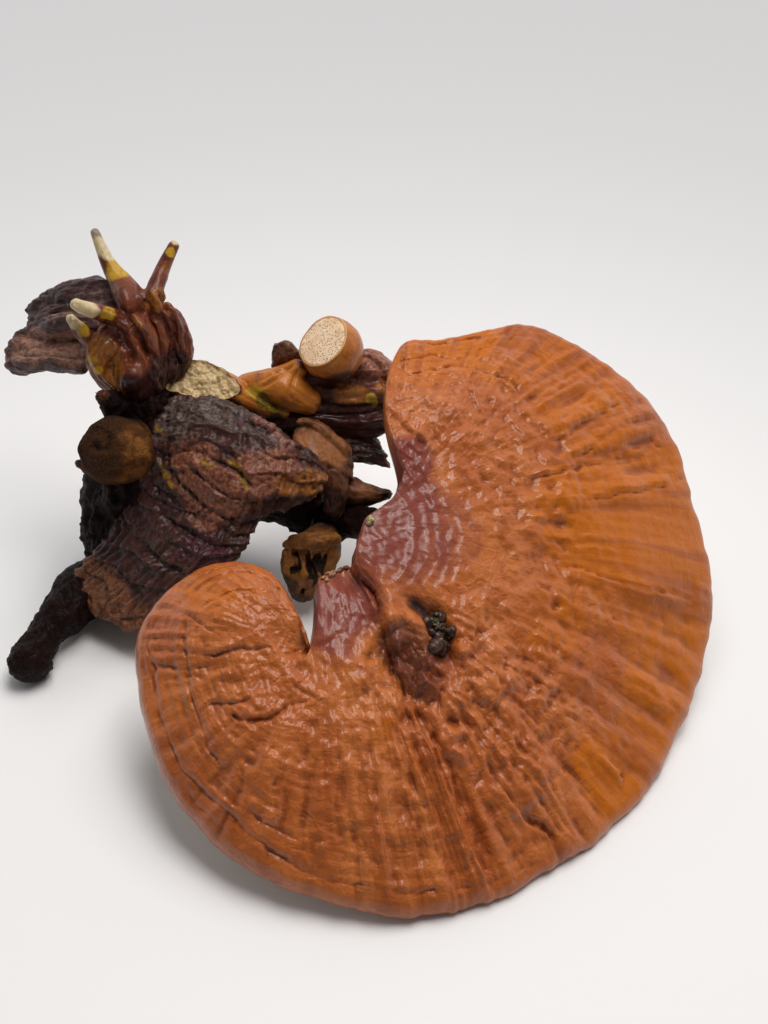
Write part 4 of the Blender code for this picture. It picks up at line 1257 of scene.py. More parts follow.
step = (along / 7.0 + 0.9 * noise_at(spots, 16.0, 80)) % 1.0
swells = 1.3 * (step**1.5 * smoothstep(1.0, 0.86, step) - 0.35)
rays = layered(np.column_stack([across, 0 * across, along / 7.0]), 3.2, 81, 3, hard=True)
wavy = along + 2.0 * noise_at(spots, 9.0, 82)
threads = layered(np.column_stack([across / 6.0, 0 * across, wavy]), 2.4, 83, 3, hard=True)
side_rise = (swells + 0.6 * rays + 0.5 * pleated(spots, 6.0, 84, 2)) * (1 - 0.8 * fibrous)
side_rise += 0.9 * fibrous * threads + folded_along(spots, SIDE_CAP_FOLDS)
raise_skin(side_mesh, side_rise)
paint(
    side_mesh,
    fibrous=SIDE_TOP,
    tan=[
        (-70, 46, 60, 7, 0.9), (-58, 38, 54, 6, 1.0), (-66, 36, 47, 5, 0.8), (-48, 41, 60, 6, 0.9),
        (-40, 44, 61, 5, 1.0),
    ],
    orange=[
        (-37, 40, 57, 3, 0.8), (-28, 44, 55, 3.6, 1.0), (-24, 46, 53, 3, 1.0), (-47, 36, 52, 2.4, 0.6),
    ],
    plum=[(-62, 22, 37, 4, 1.0), (-68, 26, 40, 4, 0.8), (-74, 25, 38, 3, 0.6), (-52, 58, 72, 3, 0.5)],
    pink=[(-46, 58, 75, 2.2, 0.9), (-40, 56, 72, 2.2, 1.0), (-36, 53, 68, 2, 0.8)],
    margin=[
        (-113, 27, 17, 7, 1.0), (-104, 19, 13, 7, 1.0), (-95, 14, 12, 6, 0.8), (-116, 34, 22, 5, 0.9),
    ],
)
MUSTARD_LINES = [
    ([(-58, 44, 66), (-54, 41, 64), (-51, 38, 61), (-50, 36, 57)], 1.5, 1.4),
    ([(-70, 47, 65), (-65, 44, 64), (-61, 42, 61)], 1.1, 1.0),
    ([(-84, 50, 62), (-82, 46, 57), (-79, 42, 52)], 1.4, 1.0),
    ([(-86, 59, 71), (-84, 56, 69), (-82, 53, 66)], 1.2, 0.9),
]
flecks = 0.75 + 0.6 * noise_at(spots, 3.0, 85)
write_mask(side_mesh, "mustard", np.clip(folded_along(points_of(side_mesh), MUSTARD_LINES) * flecks, 0, 1))
side_skin = skin_finish(
    "side_cap_skin",
    [(0.032, 0.011, 0.009), (0.065, 0.022, 0.016), (0.1, 0.04, 0.028)],
    [
        ("margin", (0.13, 0.042, 0.018), (0.22, 0.084, 0.036)),
        ("tan", (0.13, 0.04, 0.022), (0.27, 0.1, 0.055)),
        ("fibrous", (0.035, 0.02, 0.017), (0.12, 0.075, 0.062)),
        ("plum", (0.03, 0.008, 0.011), (0.075, 0.018, 0.022)),
        ("pink", (0.14, 0.05, 0.035), (0.24, 0.1, 0.075)),
        ("orange", (0.2, 0.065, 0.015), (0.3, 0.11, 0.026)),
        ("mustard", (0.17, 0.085, 0.008), (0.3, 0.16, 0.016)),
    ],
    gloss=(0.32, 0.52),
    coat=0.24,
    depth=0.14,
)
hand_over(side_mesh, "side_cap_skin", "side_cap", side_skin)

# %% [markdown]
# ## The club and the velvet bud
# The club is a blunt black stub on the table. The velvet bud is a young cap, round but pressed
# flatter on the side that faces up and to the front, with a bloom like suede instead of lacquer.

# %% Club and velvet bud
CLUB_RUN = [
    (-110, 46, 10, 11),
    (-118, 37, 9, 10.5),
    (-121, 28, 9, 10),
    (-124, 20, 9, 8.6),
    (-128, 12, 8, 6.8),
    (-130, 6, 7, 6.8),
    (-132, 0, 5.5, 7.4),
]
club_mesh = fuse([tube(CLUB_RUN), ball((-132, 0, 5.5), (8.2, 8.0, 8.2), part=1)], 0.6, 3)
spots = points_of(club_mesh)
raise_skin(club_mesh, 0.7 * layered(spots, 9.0, 91, 2, hard=True) + 0.25 * pleated(spots, 2.6, 92, 2))
paint(club_mesh, warm=[(-128, -6, 6, 3, 0.3)])
cut_at_table(club_mesh)
hand_over(club_mesh, "club_bark", "club", bark)

VELVET_NECK = [(-97, 46, 66, 9), (-96, 56, 66, 9), (-95, 64, 66, 8)]
BUD_FACE = ((-99.5, 36.5, 76.5), (-0.3, -0.62, 0.72))
BUD_DIMPLE = (-103, 35, 79)
BUD_FOLDS = [
    ([(-104, 44, 80), (-98, 40, 83), (-93, 34, 82), (-92, 30, 77)], 1.6, 0.9),
    ([
        (-106, 38, 79), (-103, 34, 79), (-99, 33, 79), (-98, 37, 82), (-102, 41, 83), (-106, 40, 81),
    ], 1.2, -0.8),
    ([(-88, 36, 81), (-90, 42, 84), (-94, 48, 84)], 1.6, -0.9),
]
bud_mesh = fuse([ball((-97, 42, 71.5), (13.4, 13, 12), (10, 12, 0)), tube(VELVET_NECK, 1)], 0.55, 3)
pressed, _ = flatten(points_of(bud_mesh), *BUD_FACE, keep=0.4)
set_points(bud_mesh, pressed)
dimple = np.linalg.norm(pressed - np.array(BUD_DIMPLE), axis=1)
bud_rise = 0.8 * layered(pressed, 10.0, 93, 2) + 0.15 * layered(pressed, 1.6, 94, 2)
bud_rise += 0.35 * np.cos(2 * math.pi * dimple / 3.4) * bell(dimple, 6.0) - 1.2 * bell(dimple, 3.0)
raise_skin(bud_mesh, bud_rise + folded_along(pressed, BUD_FOLDS))
paint(
    bud_mesh,
    face=[
        (-104, 33, 77, 5, 1.0), (-103, 38, 82, 5, 1.0), (-107, 38, 72, 5, 1.0), (-97, 31, 74, 3.4, 0.8),
        (-98, 42, 84, 4, 0.9),
    ],
    shade=[(-97, 56, 80, 7, 1.0), (-106, 38, 62, 6, 0.9), (-97, 38, 59, 5, 0.9), (-110, 42, 68, 5, 0.9)],
    lit=[(-87, 37, 76, 4, 0.6), (-91, 33, 69, 4, 0.5), (-91, 37, 82, 3, 0.6)],
)
velvet = skin_finish(
    "velvet_skin",
    [(0.04, 0.014, 0.004), (0.095, 0.032, 0.007), (0.17, 0.066, 0.014)],
    [
        ("lit", (0.12, 0.042, 0.008), (0.21, 0.085, 0.018)),
        ("face", (0.014, 0.006, 0.003), (0.055, 0.02, 0.006)),
        ("shade", (0.01, 0.005, 0.003), (0.03, 0.012, 0.006)),
    ],
    gloss=(0.7, 0.9),
    mottle=5.0,
    grain=0.7,
    specular=0.12,
)
hand_over(bud_mesh, "velvet_bud_skin", "velvet_bud", velvet)

# %% [markdown]
# ## The antler
# A cap that grew in poor air stays a hand with fingers. Its palm is folded lengthwise and shiny
# red-brown, nearly black at the foot, where a drop of resin dried; the young finger tips are
# cream, with a yellow band below.

# %% Antler
ANTLER_PALM = [
    [(-95, 74, 73, 9), (-93, 73, 85, 11), (-91, 76, 97, 11), (-88, 80, 108, 8)],
    [(-96, 72, 80, 9), (-105, 68, 90, 4.5), (-103, 69, 97, 6), (-96, 74, 104, 6)],
    [(-86, 78, 80, 8), (-78, 81, 89, 5), (-79, 83, 99, 4.8), (-84, 82, 108, 4.6)],
]
ANTLER_FINGERS = [
    [
        (-90, 78, 108, 7.2), (-93, 81, 112, 6), (-97, 86, 116, 4.5), (-102, 91, 122, 2.8),
        (-107, 98, 132, 1.6),
    ],
    [
        (-86, 81, 106, 5), (-86, 82, 110, 4.2), (-84, 87, 115, 3.3), (-82, 92, 119, 2.7),
        (-77, 98, 127, 1.9),
    ],
    [
        (-92, 77, 103, 5.5), (-97, 71, 109, 3.8), (-101, 67, 114, 3), (-105, 63, 118, 2.6),
        (-108, 60, 122, 1.9),
    ],
    [
        (-101, 72, 94, 5.5), (-106, 72, 98, 4.2), (-109, 70, 103, 2.8), (-111, 68, 109, 2.2),
        (-112, 66, 113, 1.8),
    ],
]
ANTLER_DROP = ((-93, 63.5, 89), (4.6, 4.2, 6.0), (0, 20, 10))
ANTLER_FRONT = ((-92, 68.5, 95), (0.12, -0.88, 0.46))
ANTLER_FOLDS = [
    ([
        (-96, 80, 118), (-93, 74, 113), (-90, 71, 109), (-86, 69, 104), (-84, 67, 97), (-83, 66, 90),
    ], 2.2, 2.4),
    ([
        (-89, 82, 117), (-86, 78, 113), (-84, 75, 108), (-82, 73, 102), (-81, 70, 95), (-81, 69, 88),
    ], 1.5, -2.6),
    ([
        (-98, 66, 113), (-96, 67, 110), (-93, 68, 106), (-90, 67, 101), (-88, 66, 96), (-88, 65, 91),
    ], 1.8, 1.8),
    ([(-99, 67, 108), (-96, 67, 104), (-93, 65, 100), (-92, 64, 96)], 1.8, -2.4),
    ([(-92, 72, 110), (-89, 69, 104), (-87, 67, 98), (-86, 66, 93)], 1.0, -1.6),
    ([(-83, 83, 116), (-80, 83, 110), (-77, 80, 106), (-76, 78, 99), (-76, 77, 94)], 1.5, 1.3),
    ([(-86, 82, 115), (-83, 80, 111), (-80, 77, 107), (-79, 77, 100), (-80, 74, 95)], 1.3, 1.1),
    ([(-84, 83, 113), (-81, 81, 108), (-78, 79, 103), (-78, 76, 97)], 0.9, -1.5),
    ([(-108, 67, 105), (-106, 66, 100), (-105, 63, 95), (-103, 64, 89), (-99, 62, 84)], 1.6, 1.2),
    ([(-103, 67, 103), (-102, 65, 98), (-100, 64, 92)], 2.2, -1.6),
    ([(-90, 66, 102), (-87, 66, 99), (-84, 67, 95), (-82, 68, 89)], 1.2, -1.8),
    ([(-80, 73, 95), (-78, 75, 89), (-76, 76, 84)], 1.4, -1.6),
    ([(-93, 68, 110), (-90, 66, 105), (-87, 65, 102)], 0.8, -1.0),
    ([(-88, 66, 90), (-86, 67, 84), (-84, 68, 79)], 1.4, 1.3),
]
antler_parts = tubes(ANTLER_PALM + ANTLER_FINGERS, 0, 0.5)
antler_mesh = fuse([*antler_parts, ball(*ANTLER_DROP, part=9)], 0.45, 6)
spots = points_of(antler_mesh)
pressed, _ = flatten(spots, *ANTLER_FRONT, keep=0.35)
drop = np.exp(-((np.linalg.norm(spots - ANTLER_DROP[0], axis=1) / 7.0) ** 6))
on_front = smoothstep(117, 110, spots[:, 2]) * smoothstep(-104, -99, spots[:, 0]) * (1 - drop)
spots += (pressed - spots) * on_front[:, None]
set_points(antler_mesh, spots)
on_palm = smoothstep(120, 108, spots[:, 2])
antler_rise = (0.12 + 0.4 * on_palm) * layered(growth_of(antler_mesh) / (1, 1, 5), 3.4, 101, 3, hard=True)
antler_rise += 0.45 * on_palm * pleated(spots / (1, 1, 2.5), 7.0, 104, 2)
raise_skin(antler_mesh, (antler_rise + folded_along(spots, ANTLER_FOLDS)) * (1 - drop))
paint(
    antler_mesh,
    orange=[
        (-103, 65, 99, 4, 1.0), (-90, 70, 108, 2.4, 0.8), (-97, 66, 101, 2.2, 0.8),
        (-82, 73, 104, 1.8, 0.7), (-100, 63, 91, 3.5, 0.9), (-83, 80, 113, 3, 0.9),
        (-84, 75, 110, 2, 0.8), (-80, 92, 119, 2.4, 0.7), (-97, 63, 85, 3, 0.8),
        (-95, 70, 110, 1.6, 0.6), (-92, 64, 97, 2.0, 0.6),
    ],
    gloss=[
        (-93, 60, 88, 3, 1.0), (-84, 65, 84, 5, 1.0), (-78, 73, 86, 5, 1.0), (-90, 68, 76, 7, 1.0),
        (-82, 70, 92, 3, 0.7),
    ],
    yellow=[
        (-98, 87, 119.5, 2.6, 1.0), (-100, 89.5, 122, 1.5, 1.0), (-79, 94, 124.2, 1.2, 1.0),
        (-98.5, 67, 113.5, 1.8, 1.0), (-108, 68, 107, 2, 1.0), (-106, 64, 96.5, 1.4, 1.0),
        (-104.5, 62.5, 93, 1.3, 1.0),
    ],
    cream=[
        (-105, 95, 128, 3.6, 1.0), (-101, 91, 124.5, 1.8, 1.0), (-77, 98, 128, 1.6, 1.0),
        (-104, 62, 118, 2.8, 1.0), (-108, 59, 122, 3, 1.0), (-111, 67, 111.5, 2.6, 1.0),
    ],
    grey=[
        (-107, 98, 131, 2.4, 1.0), (-105, 97, 128, 1.4, 0.6), (-109, 59, 123, 1.2, 0.8),
        (-77, 99, 129, 1.0, 0.8),
    ],
)
antler_skin = skin_finish(
    "antler_skin",
    [(0.085, 0.018, 0.008), (0.16, 0.036, 0.013), (0.25, 0.072, 0.024)],
    [
        ("orange", (0.19, 0.06, 0.01), (0.27, 0.095, 0.016)),
        ("gloss", (0.016, 0.005, 0.004), (0.05, 0.011, 0.009)),
        ("yellow", (0.38, 0.2, 0.012), (0.5, 0.29, 0.025)),
        ("cream", (0.48, 0.37, 0.2), (0.58, 0.46, 0.27)),
        ("grey", (0.2, 0.15, 0.1), (0.28, 0.21, 0.15)),
    ],
    gloss=(0.28, 0.44),
    coat=0.32,
    grain=1.6,
    depth=0.06,
)
hand_over(antler_mesh, "antler_skin", "antler", antler_skin)

# %% [markdown]
# ## The curled cap
# Behind the antler a small dark cap curls its lip forward and down. Its back is dark plum, lighter
# with painted sheen on its glossy top; the lip, which dried last, is a paler mauve-brown with
# wrinkles that run along it.

# %% Curled cap
CURLED_CAP = [
    [(-96, 88, 108), (-96, 84, 103), (-97, 79, 99), (-99, 77, 92), (-103, 76, 83)],
    [(-103, 94, 113), (-101, 87, 109), (-102, 82, 104), (-104, 78, 96), (-109, 77, 84)],
    [(-115, 98, 111), (-113, 91, 107), (-114, 85, 103), (-115, 81, 96), (-117, 78, 86)],
    [(-126, 100, 107), (-123, 93, 104), (-123, 87, 101), (-125, 83, 96), (-126, 80, 87)],
    [(-135, 101, 101), (-131, 95, 99), (-130, 90, 98), (-132, 85, 93), (-134, 82, 86)],
    [(-139, 100, 96), (-137, 96, 95), (-137, 92, 94), (-140, 88, 89), (-141, 85, 84)],
]
CURLED_LIPS = [
    [
        (-137, 90, 93, 2.6), (-141, 87, 88, 4.0), (-141, 83, 84, 4.8), (-134, 80, 86, 4.8),
        (-124, 78, 88, 4.6), (-112, 77, 86, 4.0),
    ],
    [(-131, 88, 99, 2.4), (-124, 83, 101, 3.2), (-113, 80, 103, 3.2), (-104, 79, 101, 2.6)],
]
CURLED_FOLDS = [
    ([(-137, 87, 93), (-126, 80, 95), (-115, 78, 96), (-106, 77, 95)], 1.6, -2.4),
    ([(-139, 81, 87), (-130, 77, 90), (-120, 75, 91), (-110, 75, 90)], 0.9, -1.2),
    ([(-137, 80, 83), (-128, 77, 85), (-118, 75, 86)], 0.8, -0.9),
    ([(-130, 86, 99), (-123, 87, 104), (-116, 84, 105), (-110, 80, 102)], 1.4, -1.6),
    ([(-132, 96, 102), (-123, 91, 106), (-114, 88, 108), (-106, 86, 109)], 1.3, -1.2),
    ([(-126, 89, 103), (-118, 87, 106), (-108, 84, 107)], 1.3, 1.0),
]
curled_mesh = fuse([sheet(CURLED_CAP, 5.5, 0)] + tubes(CURLED_LIPS, 1), 0.5, 4)
spots = points_of(curled_mesh)
curled_rise = 0.5 * layered(spots / (4.5, 1, 1), 3.2, 111, 3, hard=True)
curled_rise += 0.5 * pleated(spots / (2.5, 1, 1), 6.0, 114, 2)
raise_skin(curled_mesh, curled_rise + folded_along(spots, CURLED_FOLDS))
paint(
    curled_mesh,
    lip=[
        (-130, 82, 91, 5, 1.0), (-118, 78, 92, 5, 1.0), (-138, 83, 88, 4, 0.9), (-110, 77, 92, 5, 0.8),
        (-118, 83, 101, 4, 0.7),
    ],
    # Painted sheen: lighter patches where the glossy top would mirror the lamps.
    shine=[
        (-106, 87, 109, 3, 0.9), (-99, 84, 106, 3, 0.8), (-116, 86, 106, 3, 0.7),
        (-124, 84, 102, 3, 0.6),
    ],
    red=[(-144, 83, 84, 3, 0.9), (-138, 81, 81, 4, 0.7), (-106, 77, 83, 4, 0.6)],
)
curled_skin = skin_finish(
    "curled_cap_skin",
    [(0.035, 0.015, 0.013), (0.065, 0.029, 0.025), (0.12, 0.06, 0.05)],
    [
        # Painted sheen: the lighter tones of the glossy top.
        ("shine", (0.085, 0.04, 0.035), (0.18, 0.1, 0.085)),
        ("lip", (0.17, 0.076, 0.052), (0.32, 0.165, 0.115)),
        ("red", (0.09, 0.028, 0.02), (0.16, 0.055, 0.036)),
    ],
    gloss=(0.32, 0.52),
    coat=0.3,
    depth=0.14,
)
hand_over(curled_mesh, "curled_cap_skin", "curled_cap", curled_skin)

# %% [markdown]
# ## The scarred branch
# A branch was torn off here, which left a long cream face of dry flesh with a dark outline. Beyond
# it the branch carries a smooth orange spur with two rounded ends.

# %% Scarred branch
SCAR_RUN = [
    (-86, 80, 80, 7),
    (-81, 80, 78, 7.5),
    (-71, 79, 77, 8.5),
    (-62, 78, 74, 7.5),
    (-52, 77, 70, 5.5),
    (-43, 76, 67, 3.8),
    (-37, 76, 66, 2.6),
]
SPUR_RUNS = [
    [(-58, 82, 74, 4.5), (-48, 82, 73.5, 6.5), (-39, 81, 73, 8.6), (-31, 78, 70, 6), (-25, 76, 68.5, 4)],
    [(-46, 82, 74, 6), (-37, 83, 78, 5), (-31, 84, 83, 3.2)],
]
SPUR_FOLDS = [
    ([(-33, 83, 83), (-37, 81, 82), (-42, 77, 80), (-47, 76, 77)], 0.9, -1.1),
    ([(-33, 81, 82), (-35, 78, 79), (-36, 74, 77), (-36, 72, 73)], 0.8, -0.8),
    ([(-36, 82, 83), (-41, 80, 81), (-47, 78, 79)], 0.6, -0.6),
    ([(-54, 77, 77), (-49, 75, 73), (-43, 74, 70), (-37, 73, 67)], 0.8, -1.4),
]
SCAR_FACE = ((-66, 75.5, 79), (0.06, -0.62, 0.78))
SCAR_ENDS = (-85, -52)
branch_mesh = fuse([tube(SCAR_RUN, 0, 0.5)] + [tube(run, 1, 0.5) for run in SPUR_RUNS], 0.42, 2)
spots = points_of(branch_mesh)
pressed, ahead = flatten(spots, *SCAR_FACE)
ragged = spots[:, 0] + 1.5 * noise_at(spots, 4.0, 120)
left, right = SCAR_ENDS
on_scar = smoothstep(right + 2, right - 2, ragged) * smoothstep(left, left + 3, ragged)
pressed = spots + (pressed - spots) * on_scar[:, None]
set_points(branch_mesh, pressed)
ahead += 0.7 * noise_at(spots, 3.0, 125)
scar = smoothstep(0.1, 0.6, ahead) * on_scar
crumbs = 0.5 * layered(pressed, 3.6, 121, 3, hard=True) + 0.5 * pleated(pressed, 7.0, 122, 2)
folds = 0.2 * layered(growth_of(branch_mesh) / (1, 1, 4), 4.0, 123, 2, hard=True)
folds += folded_along(pressed, SPUR_FOLDS)
rim = bell(ahead - 0.2, 0.45) * on_scar
raise_skin(branch_mesh, crumbs * scar + folds * (1 - scar) + 0.6 * rim)
write_mask(branch_mesh, "scar", scar)
write_mask(branch_mesh, "outline", 0.8 * rim * (1 - scar))
paint(
    branch_mesh,
    yellow=[(-51, 75.5, 75, 1.6, 1.0), (-48, 74.5, 74, 1.6, 0.9)],
    olive=[(-47, 74, 72, 2.0, 1.0), (-43, 73, 69.5, 1.8, 1.0), (-39, 73, 67.5, 1.3, 0.9)],
    shade=[
        (-84, 80, 76, 5, 1.0), (-70, 72, 71, 4, 0.9), (-60, 72, 69, 4, 0.9), (-52, 72, 66, 3, 0.9),
        (-42, 73, 65.5, 2, 1.0),
    ],
    red=[(-31, 84, 84, 2.2, 0.9), (-25, 75, 69, 2, 0.5), (-50, 81, 79.5, 2.4, 0.5)],
)
branch_skin = skin_finish(
    "branch_skin",
    [(0.38, 0.115, 0.014), (0.48, 0.155, 0.02), (0.55, 0.2, 0.035)],
    [
        ("red", (0.13, 0.036, 0.014), (0.2, 0.06, 0.02)),
        ("shade", (0.022, 0.008, 0.005), (0.05, 0.018, 0.01)),
        ("yellow", (0.36, 0.22, 0.015), (0.5, 0.32, 0.04)),
        ("olive", (0.09, 0.055, 0.006), (0.24, 0.15, 0.014)),
        ("scar", (0.44, 0.29, 0.13), (0.62, 0.46, 0.24)),
        ("outline", (0.03, 0.012, 0.006), (0.08, 0.03, 0.012)),
    ],
    gloss=(0.34, 0.5),
    coat=0.4,
    grain=1.0,
    depth=0.08,
)
hand_over(branch_mesh, "scarred_branch_skin", "scarred_branch", branch_skin)

# %% [markdown]
# ## The pale bud
# A young cap that had not opened: a smooth orange-brown ball whose flat face is all pores. The
# pores are too small for a mesh, so they are cells of noise that dent the finish and darken it as
# painted shade in the holes.

# %% Pale bud
PALE_CENTRE = (-20, 84, 89)
PALE_RADIUS = 12.2
PALE_FACING = (-0.50, -0.38, 0.78)
PALE_FACE_DEPTH = 6.3
face_place = Vector(PALE_CENTRE) + Vector(PALE_FACING).normalized() * PALE_FACE_DEPTH
pale_neck = [(-20, 87, 82, 6), (-19, 88, 74, 6), (-18, 88, 66, 6)]
pale_mesh = fuse([ball(PALE_CENTRE, (PALE_RADIUS,) * 3), tube(pale_neck, 1)], 0.42, 3)
spots = points_of(pale_mesh)
pressed, ahead = flatten(spots, face_place, PALE_FACING, keep=0.1)
set_points(pale_mesh, pressed)
worn = ahead + 0.4 * noise_at(spots, 5.0, 133)
ring = bell(worn - 0.1, 0.45)
pale_rise = 0.35 * layered(pressed, 9.0, 131, 2) + 0.3 * ring + 0.06 * layered(pressed, 1.5, 132, 2)
raise_skin(pale_mesh, pale_rise)
write_mask(pale_mesh, "pores", smoothstep(0.4, 1.1, worn))
write_mask(pale_mesh, "bevel", ring)
paint(pale_mesh, low=[(-16, 74, 79, 4.5, 1.0), (-20, 84, 76, 6, 1.0), (-24, 77, 79, 3, 0.9)])


def pale_bud_finish():
    made, tree, shader = new_finish("pale_bud_skin", coat=0.25, specular=0.3)
    broad = speckle(tree, 7.0, 3.0)
    fine = speckle(tree, 1.2, 4.0)
    shell = blend(tree, ranged(tree, broad, 0.35, 0.65), (0.3, 0.08, 0.013), (0.46, 0.16, 0.028))
    shell = blend(tree, ranged(tree, fine, 0.5, 0.75, 0.0, 0.4), shell, (0.55, 0.24, 0.06))
    shell = blend(tree, ranged(tree, masked(tree, "low"), 0.3, 0.8), shell, (0.06, 0.016, 0.007))
    shell = blend(tree, ranged(tree, masked(tree, "bevel"), 0.4, 0.95), shell, (0.62, 0.33, 0.11))
    cells = pored(tree, 0.85)
    face = blend(tree, ranged(tree, broad, 0.3, 0.7), (0.72, 0.48, 0.28), (0.88, 0.66, 0.45))
    # Painted shade: each pore is darkened at its middle, where the hole is.
    holes = reckon(tree, "MULTIPLY", ranged(tree, cells, 0.55, 0.15), ranged(tree, broad, 0.35, 0.6, 0.3, 0.75))
    face = blend(tree, holes, face, (0.3, 0.15, 0.07))
    pores = masked(tree, "pores")
    wire(tree, shader.inputs["Base Color"], blend(tree, pores, shell, face))
    wire(tree, shader.inputs["Roughness"], ranged(tree, pores, 0, 1, 0.38, 0.75))
    dents = reckon(tree, "MULTIPLY", ranged(tree, cells, 0.15, 0.45), pores)
    grain = reckon(tree, "MULTIPLY", fine, 0.4)
    wire(tree, shader.inputs["Normal"], bumped(tree, reckon(tree, "ADD", dents, grain), 0.18))
    return made


hand_over(pale_mesh, "pale_bud_skin", "pale_bud", pale_bud_finish())

# %% [markdown]
# ## The folded cap
# A small red-brown cap that is folded over itself, with a yellow tooth where it broke, a band of
# green dust, and a dark chip that stands up behind the pale bud.

# %% Folded cap
FOLDED_RUNS = [
    [(-36, 82, 66, 6), (-21, 83, 68, 7.2), (-9, 83, 68, 7.2), (3, 82, 70, 6.5)],
    [
        (-53, 80, 60, 3.6), (-43, 80, 60, 5.2), (-32, 80, 60, 5.8), (-18, 79, 59, 5.8),
        (-4, 78, 60, 5.8), (5, 78, 62, 4.5),
    ],
    [(-17, 93, 70, 5), (-9, 94, 77, 5.2), (-2, 90, 78, 5), (3, 85, 72, 4.5)],
    [(-28, 84, 62, 8), (-28, 76, 44, 9), (-28, 68, 28, 8)],
    [(-34, 87, 74, 5.4), (-20, 88, 75, 5), (-8, 88, 76, 6), (1, 86, 75, 5)],
    [(-47, 79, 58, 5), (-40, 76, 48, 6.5), (-35, 72, 36, 6)],
]
FOLDED_CHIP = [
    [(-44, 90, 72), (-39, 89, 70), (-33, 88, 70), (-27, 88, 70)],
    [(-44, 91, 81), (-39, 90, 81), (-33, 89, 79), (-27, 89, 78)],
    [(-43, 92, 87), (-38, 91, 88), (-33, 90, 84), (-28, 90, 81)],
]
FOLDED_FOLDS = [
    ([(-30, 77, 68), (-25, 77, 68.5), (-16, 76, 68), (-7, 75, 68), (2, 75, 68)], 1.3, -1.8),
    ([(-27, 80, 74), (-16, 77, 75), (-6, 77, 76), (2, 78, 76)], 1.4, 1.0),
    ([(-12, 82, 76), (-10, 84, 78), (-6, 87, 80)], 1.0, -1.4),
    ([(-7, 90, 82), (-3, 87, 79), (0, 82, 77), (2, 79, 74)], 1.3, -1.6),
    ([(-30, 75, 64), (-18, 74, 63), (-8, 73, 63), (4, 74, 64)], 1.4, 1.2),
    ([(-30, 74, 60), (-18, 73, 59), (-6, 72, 59), (4, 73, 60)], 1.0, -1.2),
]
folded_mesh = fuse([*tubes(FOLDED_RUNS), sheet(FOLDED_CHIP, 4.0, 6)], 0.5, 4)
spots = points_of(folded_mesh)
folded_rise = 0.2 * layered(spots / (3.0, 1, 1), 3.4, 141, 3, hard=True)
folded_rise += 0.6 * pleated(spots / (2.0, 1, 1), 8.0, 144, 2)
raise_skin(folded_mesh, folded_rise + folded_along(spots, FOLDED_FOLDS))
paint(
    folded_mesh,
    mauve=[(-8, 91, 81, 4, 1.0), (-2, 88, 79, 4, 0.9), (-14, 90, 79, 3, 0.8)],
    band=[
        (-16, 78, 73, 2.8, 1.0), (-10, 77, 72, 2.8, 1.0), (-24, 79, 72, 2.2, 0.6), (0, 80, 75, 2.4, 0.8),
    ],
    dark=[
        (-20, 75, 62, 5, 1.0), (-8, 74, 62, 5, 1.0), (2, 75, 63, 5, 1.0), (-26, 77, 68, 4, 0.8),
        (-28, 70, 46, 11, 1.0), (-40, 76, 54, 8, 1.0), (-50, 79, 60, 4, 0.8),
    ],
    yellow=[(-5, 76, 71.5, 1.5, 1.0), (-4, 75.5, 69.5, 1.2, 1.0)],
    green=[(-17, 77, 75, 1.6, 0.55), (-12, 77, 75, 1.6, 0.5)],
    chip=[(-40, 90, 82, 5, 1.0), (-37, 90, 76, 4, 1.0)],
)
folded_skin = skin_finish(
    "folded_cap_skin",
    [(0.07, 0.018, 0.011), (0.13, 0.04, 0.02), (0.2, 0.075, 0.036)],
    [
        ("mauve", (0.15, 0.05, 0.032), (0.3, 0.12, 0.07)),
        ("band", (0.2, 0.066, 0.016), (0.34, 0.12, 0.028)),
        ("chip", (0.06, 0.02, 0.01), (0.17, 0.06, 0.024)),
        ("dark", (0.026, 0.007, 0.005), (0.06, 0.013, 0.009)),
        ("green", (0.1, 0.075, 0.012), (0.2, 0.16, 0.03)),
        ("yellow", (0.36, 0.22, 0.02), (0.52, 0.36, 0.06)),
    ],
    gloss=(0.3, 0.48),
    coat=0.4,
    depth=0.12,
)
hand_over(folded_mesh, "folded_cap_skin", "folded_cap", folded_skin)

# %% [markdown]
# ## The torn, the pointed and the horned caps
# Three broken bits stand between the side cap and the stalk: a torn edge that shows smooth tan
# flesh, a dark leaf that points down to the right, and a short horn.

# %% Torn cap, pointed cap and horn
TORN_CAP = [
    [(-35, 68, 62), (-30, 70, 64), (-22, 68, 60), (-15, 66, 55)],
    [(-33, 60, 60), (-27, 61, 61), (-20, 60, 57), (-12, 60, 50)],
    [(-32, 53, 56), (-26, 54, 57), (-19, 55, 53), (-12, 56, 46)],
]
TORN_EDGES = [
    [(-22, 57, 53, 5), (-19, 55, 47, 5), (-19, 52, 41, 4.6), (-20, 50, 34, 3.8)],
    [(-34, 69, 66, 1.6), (-28, 68, 66, 2.0), (-20, 65, 61, 2.4), (-13, 62, 54, 2.6)],
    [(-34, 66, 63, 1.6), (-31, 57, 61, 2.2), (-29, 53, 57, 2.4), (-22, 53, 53, 2.6)],
]
POINTED_CAP = [
    [(-22, 78, 56), (-13, 80, 56), (-4, 78, 55)],
    [(-20, 74, 50), (-11, 75, 51), (-1, 74, 50)],
    [(-15, 69, 46), (-8, 70, 45), (3, 68, 44)],
]
HORN_RUN = [(-18, 60, 42, 6), (-13, 58, 40, 6), (-7, 56, 40, 4.8), (-2, 54, 41.5, 3.2), (3, 53, 43, 1.4)]
torn_mesh = fuse([sheet(TORN_CAP, 3.6, 0)] + tubes(TORN_EDGES, 1, 0.5), 0.45, 4)
spots = points_of(torn_mesh)
smooth = zoned(spots, 0.0, [(-26, 60, 62, 4, 1.0), (-20, 60, 59, 4, 1.0)])
torn_rise = 0.35 * layered(growth_of(torn_mesh) / (1, 1, 3), 4.0, 151, 3, hard=True)
